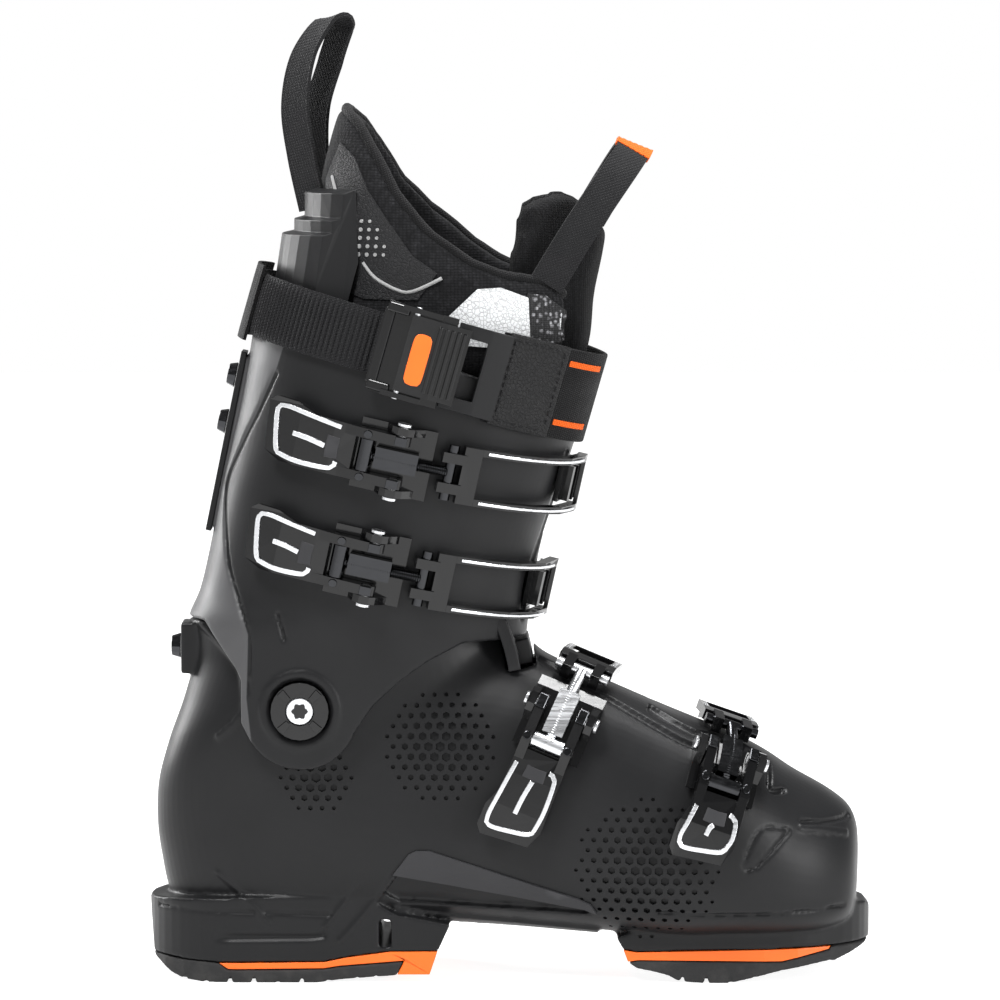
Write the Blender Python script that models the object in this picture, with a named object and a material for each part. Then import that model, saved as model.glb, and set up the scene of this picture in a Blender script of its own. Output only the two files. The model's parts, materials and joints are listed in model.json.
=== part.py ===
"""Alpine ski boot, right foot: lower shell, hinged cuff, liner, four buckles, power strap and bolted soles.

Frame: +X points to the toe, +Y to the inner side of the leg, +Z up. The origin is on the ground under the
middle of the boot. All sizes below are millimetres, and MM turns them into metres when a mesh is made.
"""

import math

import bmesh
import bpy
import numpy as np
from mathutils import Matrix, Vector

MM = 0.001
TAU = 2 * math.pi

# Driving dimensions
GAP = 0.35
SHELL_WALL = 5.0
SOLE_WALL = 10.0
CUFF_WALL = 4.2
ANKLE = (-87.0, 116.0)
SOLE_HALF_WIDTH = 34.5
HEEL_HALF_WIDTH = 33.5
BUCKLE_SIDE_SHIFT = 3.5
LINER_WALL = 9.0
TONGUE_THICKNESS = 8.0
BOARD_BOTTOM = 30.5
BOARD_TOP = 36.5
LINER_FLOOR = 41.0
FOOTBED_TOP = 44.5

# A section crosses the boot from its near end (toe top, instep, shin) to its far end (sole, heel, calf).
# near x, near z, far x, far z, half width, share of the length where it is widest (from the far end),
# roundness of the near half, roundness of the far half, shift of the middle towards the inner side.
SHELL_SECTIONS = np.array([
    (147.0, 56, 145.8, 34, 9, 0.45, 2.3, 2.4, 4.0),
    (146.4, 63, 145.2, 26, 22, 0.42, 2.3, 2.6, 4.0),
    (143.0, 70, 141.5, 21, 33, 0.38, 2.4, 2.8, 3.8),
    (134.0, 77, 131.0, 18, 41, 0.36, 2.4, 3.0, 3.2),
    (120.0, 85, 115.0, 17, 47, 0.36, 2.4, 3.0, 2.2),
    (108.0, 93, 92.0, 17, 50, 0.38, 2.5, 3.0, 1.0),
    (94.5, 100, 65.0, 17, 51, 0.40, 2.6, 3.0, 0.0),
    (62.0, 113.5, 30.0, 20, 47, 0.44, 2.8, 3.0, -0.5),
    (30.0, 127.5, -14.0, 23, 43.5, 0.48, 3.0, 3.0, -0.5),
    (16.0, 134.0, -46.0, 22, 41.5, 0.5, 3.0, 2.8, 0.0),
    (9.0, 139.5, -78.0, 18, 39.5, 0.5, 2.8, 2.8, 0.0),
    (3.0, 144.5, -112.0, 18, 38.5, 0.48, 2.5, 2.6, 0.0),
    (-1.5, 148.0, -139.0, 26, 38.0, 0.5, 2.4, 2.4, 0.0),
    (-3.5, 151.0, -147.5, 52, 38.0, 0.5, 2.4, 2.3, 0.0),
    (-4.8, 153.5, -148.7, 77, 38.5, 0.5, 2.4, 2.3, 0.0),
    (-5.6, 155.5, -144.2, 97, 39.5, 0.5, 2.3, 2.3, 0.0),
    (-6.2, 157.0, -137.2, 117, 40.0, 0.5, 2.3, 2.1, 0.0),
    (-6.5, 158.2, -133.2, 134, 40.0, 0.52, 2.2, 1.9, 0.0),
    (-6.6, 159.0, -134.6, 150, 40.0, 0.55, 2.1, 1.8, 0.0),
])
CUFF_SECTIONS = np.array([
    (8.0, 96.0, -148.0, 82.0, 44.5, 0.5, 2.3, 2.6, 0.0),
    (7.5, 118.0, -143.0, 110.0, 46.0, 0.5, 2.3, 2.6, 0.0),
    (7.0, 138.0, -138.0, 136.0, 47.2, 0.5, 2.3, 2.6, 0.0),
    (7.4, 147.0, -135.2, 151.0, 48.0, 0.5, 2.3, 2.6, 0.0),
    (9.2, 160.0, -130.2, 163.0, 48.8, 0.5, 2.3, 2.3, 0.0),
    (12.6, 180.0, -125.5, 183.0, 50.0, 0.5, 2.3, 2.3, 0.0),
    (17.0, 195.0, -121.0, 207.0, 51.3, 0.5, 2.3, 2.3, 0.0),
    (22.0, 209.0, -116.0, 228.0, 52.6, 0.5, 2.3, 2.3, 0.0),
    (26.5, 223.0, -111.0, 251.0, 53.8, 0.5, 2.3, 2.3, 0.0),
    (31.5, 238.0, -105.0, 288.0, 55.0, 0.5, 2.2, 2.3, 0.0),
    (39.0, 266.0, -100.0, 318.0, 56.0, 0.5, 2.2, 2.3, 0.0),
])
CUFF_TOP = 9.0
LINER_SECTIONS = np.array([
    (-2.0, 165.0, -123.5, 155.5, 38.5, 0.5, 2.2, 2.1, 0.0),
    (6.5, 180.0, -119.5, 181.0, 43.6, 0.5, 2.2, 2.3, 0.0),
    (15.5, 207.0, -109.5, 224.0, 46.4, 0.5, 2.2, 2.3, 0.0),
    (25.0, 237.0, -89.0, 266.0, 48.6, 0.5, 2.2, 2.3, 0.0),
    (33.5, 266.0, -77.0, 296.0, 49.5, 0.5, 2.2, 2.2, 0.0),
    (35.5, 286.0, -80.0, 326.0, 48.0, 0.5, 2.2, 2.2, 0.0),
    (39.0, 303.0, -74.0, 355.0, 45.5, 0.5, 2.2, 2.2, 0.0),
    (41.5, 318.0, -66.0, 376.0, 42.0, 0.5, 2.2, 2.2, 0.0),
    (42.0, 334.0, -58.0, 396.0, 40.0, 0.5, 2.2, 2.2, 0.0),
])
SHELL_END = len(SHELL_SECTIONS) - 1
LINER_FOOT_END = 17.0
SHELL_POINTS = 22

MATERIALS = {
    "shell_plastic": ((0.030, 0.030, 0.032), 0.42, 0.0),
    "cuff_plastic": ((0.034, 0.034, 0.036), 0.42, 0.0),
    "grey_plastic": ((0.075, 0.075, 0.078), 0.45, 0.0),
    "buckle_black": ((0.012, 0.012, 0.013), 0.22, 0.0),
    "bright_metal": ((0.62, 0.62, 0.63), 0.25, 1.0),
    "tread_rubber": ((0.020, 0.020, 0.020), 0.75, 0.0),
    "orange_plastic": ((0.90, 0.22, 0.02), 0.45, 0.0),
    "liner_foam": ((0.035, 0.035, 0.037), 0.85, 0.0),
    "webbing": ((0.028, 0.028, 0.030), 0.80, 0.0),
    "board_plastic": ((0.12, 0.12, 0.12), 0.60, 0.0),
}


def make_collections():
    """Empty the scene and add one collection for the boot and one for its cutters."""
    for leftover in list(bpy.data.objects):
        bpy.data.objects.remove(leftover, do_unlink=True)
    boot = bpy.data.collections.new("alpine_ski_boot")
    cutters = bpy.data.collections.new("cutters")
    for collection in (boot, cutters):
        bpy.context.scene.collection.children.link(collection)
    return boot, cutters


BOOT, CUTTERS = make_collections()


def make_material(name):
    colour, roughness, metallic = MATERIALS[name]
    material = bpy.data.materials.new(name)
    material.use_nodes = True
    shader = material.node_tree.nodes["Principled BSDF"]
    shader.inputs["Base Color"].default_value = (*colour, 1.0)
    shader.inputs["Roughness"].default_value = roughness
    shader.inputs["Metallic"].default_value = metallic
    return material


def make_empty(name, place, parent=None, axes=None):
    """An empty on a joint's axis, in world millimetres, which the moving pieces are parented to."""
    empty = bpy.data.objects.new(name, None)
    BOOT.objects.link(empty)
    empty.empty_display_size = 10 * MM
    world = Matrix.Translation(Vector(place) * MM)
    if axes is not None:
        world = world @ Matrix(np.array(axes).T.tolist()).to_4x4()
    if parent is not None:
        empty.parent = parent
        empty.matrix_parent_inverse = parent.matrix_world.inverted()
    empty.matrix_world = world
    bpy.context.view_layer.update()
    return empty


def mesh_object(name, mesh, collection):
    thing = bpy.data.objects.new(name, mesh)
    collection.objects.link(thing)
    if collection is CUTTERS:
        thing.hide_render = True
        thing.display_type = "WIRE"
    return thing


def outward(builder):
    bmesh.ops.remove_doubles(builder, verts=builder.verts, dist=0.01 * MM)
    bmesh.ops.recalc_face_normals(builder, faces=builder.faces)


def keep(thing, slot, parent=None, sharp=35.0):
    """Give a finished piece its own material, shading and parent."""
    thing.data.materials.clear()
    material = make_material(slot)
    material.name = thing.name + "_" + slot
    thing.data.materials.append(material)
    thing.data.shade_smooth()
    thing.data.set_sharp_from_angle(angle=math.radians(sharp))
    if parent is not None:
        thing.parent = parent
        thing.matrix_parent_inverse = parent.matrix_world.inverted()
    return thing


def boolean(thing, other, operation="DIFFERENCE"):
    modifier = thing.modifiers.new(operation.lower(), "BOOLEAN")
    modifier.operation = operation
    modifier.object = other


def settle(thing):
    """Replace a piece's mesh with the one its modifiers make."""
    bpy.context.view_layer.update()
    evaluated = thing.evaluated_get(bpy.context.evaluated_depsgraph_get())
    mesh = bpy.data.meshes.new_from_object(evaluated)
    thing.modifiers.clear()
    thing.data = mesh
    return thing


def box(name, low, high, collection=BOOT):
    builder = bmesh.new()
    bmesh.ops.create_cube(builder, size=1.0)
    low, high = np.array(low, float), np.array(high, float)
    for vertex in builder.verts:
        vertex.co = Vector(((np.array(vertex.co) + 0.5) * (high - low) + low) * MM)
    mesh = bpy.data.meshes.new(name)
    builder.to_mesh(mesh)
    builder.free()
    return mesh_object(name, mesh, collection)


def cylinder(name, start, end, radius, sides=16, collection=BOOT, end_radius=None):
    start, end = Vector(start) * MM, Vector(end) * MM
    along = end - start
    builder = bmesh.new()
    turn = along.to_track_quat("Z", "Y").to_matrix().to_4x4()
    place = Matrix.Translation((start + end) / 2) @ turn
    top = radius if end_radius is None else end_radius
    bmesh.ops.create_cone(builder, cap_ends=True, segments=sides, radius1=radius * MM, radius2=top * MM,
                          depth=along.length, matrix=place)
    mesh = bpy.data.meshes.new(name)
    builder.to_mesh(mesh)
    builder.free()
    return mesh_object(name, mesh, collection)


def plate(name, corners, low, high, plane="XZ", collection=BOOT):
    """A flat outline made thick: corners lie in the named plane, and it runs from low to high across it."""
    curve = bpy.data.curves.new(name, "CURVE")
    curve.dimensions = "2D"
    curve.fill_mode = "BOTH"
    curve.extrude = (high - low) / 2 * MM
    spline = curve.splines.new("POLY")
    spline.points.add(len(corners) - 1)
    for point, (across, up) in zip(spline.points, corners):
        point.co = (across * MM, up * MM, 0, 1)
    spline.use_cyclic_u = True
    drawing = bpy.data.objects.new(name + "_outline", curve)
    CUTTERS.objects.link(drawing)
    middle = (low + high) / 2 * MM
    if plane == "XZ":
        world = Matrix.Translation((0, middle, 0)) @ Matrix.Rotation(math.pi / 2, 4, "X")
    else:
        world = Matrix.Translation((0, 0, middle))
    bpy.context.view_layer.update()
    mesh = bpy.data.meshes.new_from_object(drawing.evaluated_get(bpy.context.evaluated_depsgraph_get()))
    bpy.data.objects.remove(drawing)
    mesh.transform(world)
    builder = bmesh.new()
    builder.from_mesh(mesh)
    outward(builder)
    builder.to_mesh(mesh)
    builder.free()
    return mesh_object(name, mesh, collection)


def section_at(keys, place):
    """The section between two key sections, on a smooth curve through all of them."""
    first = min(max(int(place), 0), len(keys) - 2)
    share = place - first
    before, start, end, after = (keys[min(max(first + k, 0), len(keys) - 1)] for k in (-1, 0, 1, 2))
    return 0.5 * (2 * start + (end - before) * share
                  + (2 * before - 5 * start + 4 * end - after) * share**2
                  + (3 * start - before - 3 * end + after) * share**3)


def point_on(section, angle, inset=0.0, far_inset=None):
    """A point of a section's outline: 90 degrees is its near end, 180 the outer side, 270 its far end."""
    near, far = np.array(section[0:2]), np.array(section[2:4])
    half, widest, near_power, far_power, shift = section[4:9]
    length = np.linalg.norm(near - far)
    along = (near - far) / length
    far_inset = inset if far_inset is None else far_inset
    near, far = near - along * inset, far + along * far_inset
    length = length - inset - far_inset
    across, up = math.cos(angle), math.sin(angle)
    power = near_power if up >= 0 else far_power
    side = (half - inset) * math.copysign(abs(across) ** (2 / power), across)
    reach = abs(up) ** (2 / power)
    share = widest + (1 - widest) * reach if up >= 0 else widest * (1 - reach)
    x, z = far + along * length * share
    return np.array((x, side + shift, z))


def loft(name, rings, collection=BOOT):
    """A closed solid through a row of closed outlines with equal numbers of points."""
    builder = bmesh.new()
    rows = [[builder.verts.new(Vector(point) * MM) for point in ring] for ring in rings]
    count = len(rows[0])
    for row, after in zip(rows, rows[1:]):
        for k in range(count):
            builder.faces.new((row[k], row[(k + 1) % count], after[(k + 1) % count], after[k]))
    builder.faces.new(rows[0])
    builder.faces.new(rows[-1])
    outward(builder)
    mesh = bpy.data.meshes.new(name)
    builder.to_mesh(mesh)
    builder.free()
    return mesh_object(name, mesh, collection)


def slab(name, outer, inner, around=False, collection=BOOT):
    """A closed wall between two grids of points; around joins the last column to the first."""
    builder = bmesh.new()
    sides = [[[builder.verts.new(Vector(p) * MM) for p in row] for row in grid] for grid in (outer, inner)]
    rows, columns = len(outer), len(outer[0])
    last = columns if around else columns - 1
    for grid in sides:
        for i in range(rows - 1):
            for j in range(last):
                k = (j + 1) % columns
                builder.faces.new((grid[i][j], grid[i][k], grid[i + 1][k], grid[i + 1][j]))
    for i in (0, rows - 1):
        for j in range(last):
            k = (j + 1) % columns
            builder.faces.new((sides[0][i][j], sides[0][i][k], sides[1][i][k], sides[1][i][j]))
    if not around:
        for j in (0, columns - 1):
            for i in range(rows - 1):
                builder.faces.new((sides[0][i][j], sides[0][i + 1][j], sides[1][i + 1][j], sides[1][i][j]))
    outward(builder)
    mesh = bpy.data.meshes.new(name)
    builder.to_mesh(mesh)
    builder.free()
    return mesh_object(name, mesh, collection)


def turn_about_ankle(radius, degrees):
    """A point at a distance and an angle above the horizontal, forward of the ankle axis."""
    angle = math.radians(degrees)
    return ANKLE[0] + radius * math.cos(angle), ANKLE[1] + radius * math.sin(angle)


def annulus(name, inner, outer, low, high, reach, collection):
    """A sector between two arcs round the ankle axis, running across the whole boot."""
    steps = np.linspace(low, high, 7)
    corners = [turn_about_ankle(outer, a) for a in steps]
    corners += [turn_about_ankle(inner, a) for a in reversed(steps)]
    return plate(name, corners, -reach, reach, "XZ", collection)


def shell_rings(inset, far_inset, start, end, steps):
    """Rings of the lower shell, the far inset growing from the heel's back to the sole."""
    rings = []
    for place in np.linspace(start, end, steps):
        section = section_at(SHELL_SECTIONS, place)
        sole_share = min(max((13.0 - place) / 2.0, 0.0), 1.0)
        far = inset + (far_inset - inset) * sole_share
        angles = [TAU * (k + 0.5) / SHELL_POINTS for k in range(SHELL_POINTS)]
        rings.append([point_on(section, angle, inset, far) for angle in angles])
    return rings


def extend_up(rings, height):
    """Carry the last ring of a shaft on upwards, past the opening it is to leave."""
    rings.append([point + np.array((0, 0, height)) for point in rings[-1]])
    return rings


def sole_outline(front, back, half_width, nose, tail):
    """The plan of a sole: straight sides, and an elliptic end of the given length at the front and back."""
    corners = []
    if nose:
        for angle in np.linspace(-math.pi / 2, math.pi / 2, 11):
            corners.append((front - nose + nose * math.cos(angle), half_width * math.sin(angle)))
    else:
        corners += [(front, -half_width), (front, half_width)]
    if tail:
        for angle in np.linspace(math.pi / 2, 3 * math.pi / 2, 11):
            corners.append((back + tail + tail * math.cos(angle), half_width * math.sin(angle)))
    else:
        corners += [(back, half_width), (back, -half_width)]
    return corners


def sole_piece(name, side_view, plan, collection):
    """A sole part: its side view carried across the boot and trimmed to the sole's plan."""
    piece = plate(name, side_view, -60, 60, "XZ", collection)
    trim = plate(name + "_plan", plan, -20, 60, "XY", CUTTERS)
    boolean(piece, trim, "INTERSECT")
    return settle(piece)


HEEL_GROOVE = [(-138, 17), (-139, 21), (-80, 20.6), (-75, 25), (-77, 18.4), (-84, 17.6)]
HEEL_GROOVE_FLOOR = 32.3
HEEL_PLAN = sole_outline(-10, -152, HEEL_HALF_WIDTH, 0, 38)
TOE_PLAN = sole_outline(152, 30, SOLE_HALF_WIDTH, 46, 0)


def make_lower_shell():
    shell = loft("lower_shell", shell_rings(0, 0, 0, SHELL_END, 28))
    heel = sole_piece("heel_block", [
        (-152, 33), (-150, 10), (-122, 8.5), (-78, 9), (-68, 11), (-50, 13.4), (-30, 13.6), (-25, 24.5),
        (-48, 29), (-60, 36), (-110, 36), (-140, 34.5)], HEEL_PLAN, CUTTERS)
    toe = sole_piece("toe_block", [
        (44.5, 19), (47.3, 14.2), (52.5, 13.3), (134, 14.9), (152.5, 15), (152.5, 28), (149.5, 31),
        (143, 32), (130, 27), (60, 26)], TOE_PLAN, CUTTERS)
    spine = box("spine_block", (-138.3, -9, 127), (-128, 9, 148.5), CUTTERS)
    hollow_rings = extend_up(shell_rings(SHELL_WALL, SOLE_WALL + 3, 2.2, SHELL_END, 20), 12)
    hollow = loft("shell_hollow", hollow_rings, CUTTERS)
    for part in (heel, toe, spine):
        boolean(shell, part, "UNION")
    boolean(shell, hollow)
    boolean(shell, annulus("flex_slot", 86.8, 99.3, 9.0, 45, 60, CUTTERS))
    boolean(shell, box("shell_rim", (-200, -80, 150.4), (100, 80, 300), CUTTERS))
    boolean(shell, box("heel_gap", (-54.6, -60, 14.8), (-49.6, 60, 26.5), CUTTERS))
    for side in (-1, 1):
        low, high = sorted((side * HEEL_GROOVE_FLOOR, side * 60))
        boolean(shell, plate("heel_groove", HEEL_GROOVE, low, high, "XZ", CUTTERS))
    settle(shell)
    return keep(shell, "shell_plastic")


SOLE_SCREW_BORE = 3.8
SOLE_SCREW_RADIUS = 3.4


def make_soles():
    """The rubber treads, the orange wedges above them, and the screws that hold them to the shell."""
    heel_tread = sole_piece("heel_tread", [
        (-150, 9.4), (-149, 7.5), (-142, 2.5), (-137, 0.7), (-130, 0), (-80, 0), (-71, 1.3), (-55, 2.5),
        (-47.5, 3), (-44.5, 8.9), (-71, 6.8), (-78, 5.7), (-118, 5.3), (-122, 8.2)], HEEL_PLAN, BOOT)
    heel_insert = sole_piece("heel_insert", [
        (-121.6, 8.1), (-117.8, 5.65), (-78, 6.05), (-71, 7.15), (-44.1, 9.3), (-47, 3.4), (-33.6, 3.4),
        (-30.3, 13.1), (-50, 13.0), (-68, 10.6), (-78, 8.6)], HEEL_PLAN, BOOT)
    toe_tread = sole_piece("toe_tread", [
        (49.5, 8.6), (53, 6.2), (60, 4.8), (66, 3.2), (70, 1), (76, 0.2), (80, 0), (92, 0), (100, 1.8),
        (113, 5.0), (134, 8.5), (135.5, 7.9), (147, 12), (152.3, 14.6), (134.6, 14.5), (134, 13.2),
        (113.4, 8.7), (53.5, 9.3)], TOE_PLAN, BOOT)
    toe_insert = sole_piece("toe_insert", [
        (47.4, 13.8), (49.2, 9.1), (53.5, 9.7), (113.4, 9.1), (133.4, 13.4), (134.0, 14.5), (52.6, 12.9)],
        TOE_PLAN, BOOT)
    for tread in (heel_tread, toe_tread):
        keep(tread, "tread_rubber")
    for insert in (heel_insert, toe_insert):
        keep(insert, "orange_plastic")
    for name, x, top, parts in (("heel_screw", -100, 8.2, (heel_tread, heel_insert)),
                                ("toe_screw", 84, 12.6, (toe_tread, toe_insert))):
        for part in parts:
            boolean(part, cylinder(name + "_bore", (x, 0, -5), (x, 0, 40), SOLE_SCREW_BORE, 12, CUTTERS))
            settle(part)
        keep(cylinder(name, (x, 0, 2.0), (x, 0, top), SOLE_SCREW_RADIUS, 12), "bright_metal")


def make_inside():
    """The boot board on the shell's floor, the liner's foot on it and the footbed inside the liner."""
    board = loft("boot_board", shell_rings(SHELL_WALL + 1.8, SOLE_WALL + 4.5, 2.8, 12.4, 14))
    boolean(board, box("board_slab", (-116, -80, BOARD_BOTTOM), (200, 80, BOARD_TOP), CUTTERS), "INTERSECT")
    keep(settle(board), "board_plastic")

    foot = loft("liner_foot", shell_rings(SHELL_WALL + 1.2, SOLE_WALL + 4, 2.7, LINER_FOOT_END, 16))
    boolean(foot, box("under_liner", (-200, -80, -5), (200, 80, BOARD_TOP + GAP), CUTTERS))
    above = [(-200, 150), (-60, 143), (-20, 141), (60, 139), (60, 260), (-200, 260)]
    boolean(foot, plate("above_liner_foot", above, -80, 80, "XZ", CUTTERS))
    cavity_rings = extend_up(shell_rings(SHELL_WALL + 6.2, SOLE_WALL + 4, 3.1, LINER_FOOT_END, 14), 20)
    cavity = loft("foot_cavity", cavity_rings, CUTTERS)
    boolean(cavity, box("cavity_floor", (-200, -80, -5), (200, 80, LINER_FLOOR), CUTTERS))
    settle(cavity)
    boolean(foot, cavity)
    boolean(foot, annulus("liner_flex_slot", 86.8, 102, 8.6, 45, 60, CUTTERS))
    keep(settle(foot), "liner_foam")

    footbed = loft("footbed", shell_rings(SHELL_WALL + 8.2, SOLE_WALL + 4, 3.5, 12.6, 12))
    slab_of_footbed = box("footbed_slab", (-122, -80, LINER_FLOOR + GAP), (200, 80, FOOTBED_TOP), CUTTERS)
    boolean(footbed, slab_of_footbed, "INTERSECT")
    keep(settle(footbed), "board_plastic")


def wall(name, keys, angles, low, high, outer, inner, rows, around=False):
    """A wall on a lofted surface: low and high give an angle's key places, outer and inner its insets."""
    grids = []
    for inset in (outer, inner):
        grid = []
        for i in range(rows):
            row = []
            for angle in angles:
                place = low(angle) + (high(angle) - low(angle)) * i / (rows - 1)
                row.append(point_on(section_at(keys, place), angle, inset(angle)))
            grid.append(row)
        grids.append(grid)
    return slab(name, grids[0], grids[1], around)


EAR_RADIUS = 24.0
PIVOT_HOLE_RADIUS = 12.4


def make_cuff(parent):
    """The cuff: a tapered tube whose lower edge leaves two rounded ears over the ankle axis."""
    angles = [TAU * (k + 0.5) / 28 for k in range(28)]
    cuff = wall("cuff", CUFF_SECTIONS, angles, lambda a: 0.0, lambda a: CUFF_TOP,
                lambda a: 0.0, lambda a: CUFF_WALL, 12, True)
    x, z = ANKLE
    turns = np.linspace(-2.6, -0.35, 9)
    below = [(-200, 151.6), (-127, 151.6), (-123.5, 146.5), (-113.5, 132.5), (-111.5, 128), (-111.5, 110)]
    below += [(x + EAR_RADIUS * math.cos(a), z - 1 + EAR_RADIUS * math.sin(a)) for a in turns]
    below += [(-57, 117.5), (-46, 128), (-33.6, 136.5), (-19, 143.6), (60, 143.6), (60, 40), (-200, 40)]
    boolean(cuff, plate("below_cuff", below, -80, 80, "XZ", CUTTERS))
    boolean(cuff, cylinder("pivot_hole", (x, -80, z), (x, 80, z), PIVOT_HOLE_RADIUS, 24, CUTTERS))
    return keep(settle(cuff), "cuff_plastic", parent)


def make_pivots(parent):
    """On each side a ring in the cuff's hole and the screw that the cuff turns on."""
    shell_half = 42.0
    for side, label in ((-1, "lateral"), (1, "medial")):
        x, z = ANKLE
        ring = cylinder("pivot_ring_" + label, (x, side * shell_half, z), (x, side * 48.6, z), 12.0, 24)
        boolean(ring, cylinder("ring_hole", (x, side * 30, z), (x, side * 60, z), 6.0, 18, CUTTERS))
        keep(settle(ring), "buckle_black", parent)
        screw = cylinder("pivot_screw_" + label, (x, side * shell_half, z), (x, side * 48.2, z), 5.6, 18)
        keep(screw, "bright_metal", parent)


def liner_edge(x, side):
    """Height of the liner's top edge above a place along the boot; the inner side is a little higher."""
    line = ((-90, 366), (-69, 364.5), (-61, 356), (-52.5, 341), (-46, 328), (-33.6, 313), (-16.8, 301),
            (-4.2, 296), (12.6, 293), (23, 286), (45, 276))
    lift = 8.0 * math.exp(-((x + 30) / 25) ** 2) if side > 0 else 0.0
    return np.interp(x, [p[0] for p in line], [p[1] for p in line]) + lift


def tongue_edge(x):
    line = ((-20, 300), (-9, 311), (4, 322), (17, 326.5), (28, 327), (36, 321), (41, 313), (50, 300))
    return np.interp(x, [p[0] for p in line], [p[1] for p in line])


def place_at_height(keys, angle, inset, start, wanted):
    """The first key place where the surface rises past a wanted height, which depends on x and the side."""
    for place in np.arange(start, len(keys) - 1, 0.02):
        x, y, z = point_on(section_at(keys, place), angle, inset)
        if z >= wanted(x, y):
            return place
    return float(len(keys) - 1)


def smooth_step(low, high, value):
    share = min(max((value - low) / (high - low), 0.0), 1.0)
    return share * share * (3 - 2 * share)


def make_liner_upper(parent):
    """The liner's shaft, open in front where the tongue closes it."""
    opening = math.radians(38)
    angles = list(np.linspace(math.pi / 2 + opening, math.pi / 2 + TAU - opening, 29))
    tops = {a: place_at_height(LINER_SECTIONS, a, 4.0, 1.0, lambda x, y: liner_edge(x, y)) for a in angles}
    upper = wall("liner_upper", LINER_SECTIONS, angles, lambda a: 0.0, lambda a: tops[a],
                 lambda a: 0.0, lambda a: LINER_WALL, 10)
    return keep(upper, "liner_foam", parent)


def make_tongue(parent):
    """The tongue: flush with the shaft in front, tucked behind its edges at the sides."""
    angles = list(np.linspace(math.radians(90 - 62), math.radians(90 + 62), 17))
    tuck = {a: 0.4 + (LINER_WALL + 0.4) * smooth_step(22, 34, abs(math.degrees(a) - 90)) for a in angles}
    tops = {}
    for angle in angles:
        tops[angle] = place_at_height(LINER_SECTIONS, angle, tuck[angle], 2.0, lambda x, y: tongue_edge(x))
    tongue = wall("liner_tongue", LINER_SECTIONS, angles, lambda a: 0.6, lambda a: tops[a],
                  lambda a: tuck[a], lambda a: tuck[a] + TONGUE_THICKNESS, 9)
    return keep(tongue, "liner_foam", parent)


def make_spoiler(parent):
    """The stepped wedge between the calf of the liner and the back of the cuff."""
    angles = np.linspace(math.radians(270 - 46), math.radians(270 + 46), 13)
    steps = ((0.88, 272), (0.92, 290), (0.92, 312), (0.62, 313), (0.62, 318), (0.32, 319), (0.32, 329),
             (0, 331), (0, 300), (0, 272))
    rings = []
    for angle in angles:
        ring = []
        for share, height in steps:
            place = place_at_height(LINER_SECTIONS, angle, -1.8, 2.0, lambda x, y: height)
            front = point_on(section_at(LINER_SECTIONS, place), angle, -1.8)
            place = place_at_height(CUFF_SECTIONS, angle, CUFF_WALL, 5.0, lambda x, y: height)
            back = point_on(section_at(CUFF_SECTIONS, place), angle, CUFF_WALL)
            back[2] = height
            ring.append(front + (back - front) * share)
        rings.append(ring)
    return keep(loft("rear_spoiler", rings), "grey_plastic", parent)


class Outline:
    """The closed line where a plane crosses a lofted surface, from its outer side towards the front."""

    def __init__(self, keys, along, place, slope, count=120):
        self.along = Vector((along[0], 0, along[1])).normalized()
        self.across = (self.along.cross(Vector((0, -1, 0))) + Vector((0, -slope, 0))).normalized()
        self.points = []
        middle = np.array((place[0], place[2], place[1]))
        normal = np.array(self.across)
        spots = np.arange(0, len(keys) - 1 + 1e-6, 0.05)
        sections = [section_at(keys, spot) for spot in spots]
        for k in range(count):
            angle = math.pi - TAU * k / count
            row = np.array([point_on(section, angle) for section in sections])
            signs = (row - middle) @ normal
            change = np.nonzero(signs[:-1] * signs[1:] <= 0)[0][0]
            share = signs[change] / (signs[change] - signs[change + 1])
            self.points.append(row[change] + (row[change + 1] - row[change]) * share)
        self.points = np.array(self.points)
        steps = np.linalg.norm(np.roll(self.points, -1, 0) - self.points, axis=1)
        self.length = steps.sum()
        self.marks = np.concatenate(([0], np.cumsum(steps)))
        self.front = self.marks[int(np.argmax((self.points - middle) @ np.array(self.along)))]
        lateral = [k for k in range(count) if self.points[k][1] < 0]
        nearest = min(lateral, key=lambda k: abs((self.points[k] - middle) @ np.array(self.along)))
        self.start = self.marks[nearest]
        self.front = (self.front - self.start) % self.length

    def at(self, distance):
        """The point, the outward direction and the forward direction at a distance along the line."""
        def spot(value):
            value = (value + self.start) % self.length
            return np.array([np.interp(value, self.marks, np.append(self.points[:, k], self.points[0, k]))
                             for k in range(3)])
        forward = Vector(spot(distance + 2.0) - spot(distance - 2.0)).normalized()
        return Vector(spot(distance)), self.across.cross(forward), forward

    def world(self, distance, out, across):
        point, outwards, _ = self.at(distance)
        return point + outwards * out + self.across * across

    def wrap(self, thing, spacing=14.0, rigid_at=None):
        """Lay a piece, modelled flat with x along, y out and z across, onto the line."""
        builder = bmesh.new()
        builder.from_mesh(thing.data)
        xs = [vertex.co.x / MM for vertex in builder.verts]
        if rigid_at is None:
            for cut in np.arange(min(xs) + spacing, max(xs) - 0.4 * spacing, spacing):
                bmesh.ops.bisect_plane(builder, geom=builder.verts[:] + builder.edges[:] + builder.faces[:],
                                       plane_co=(cut * MM, 0, 0), plane_no=(1, 0, 0), dist=0.01 * MM)
            for vertex in builder.verts:
                flat = vertex.co / MM
                vertex.co = self.world(flat.x, flat.y, flat.z) * MM
        else:
            point, outwards, forward = self.at(rigid_at)
            for vertex in builder.verts:
                flat = vertex.co / MM
                along = forward * (flat.x - rigid_at)
                vertex.co = (point + along + outwards * flat.y + self.across * flat.z) * MM
        builder.to_mesh(thing.data)
        builder.free()
        return thing


PIN_HEIGHT = 7.0
BARREL_BACK = 13.0
BARREL_HEIGHT = 6.2
TRUNNION = 21.0


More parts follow.
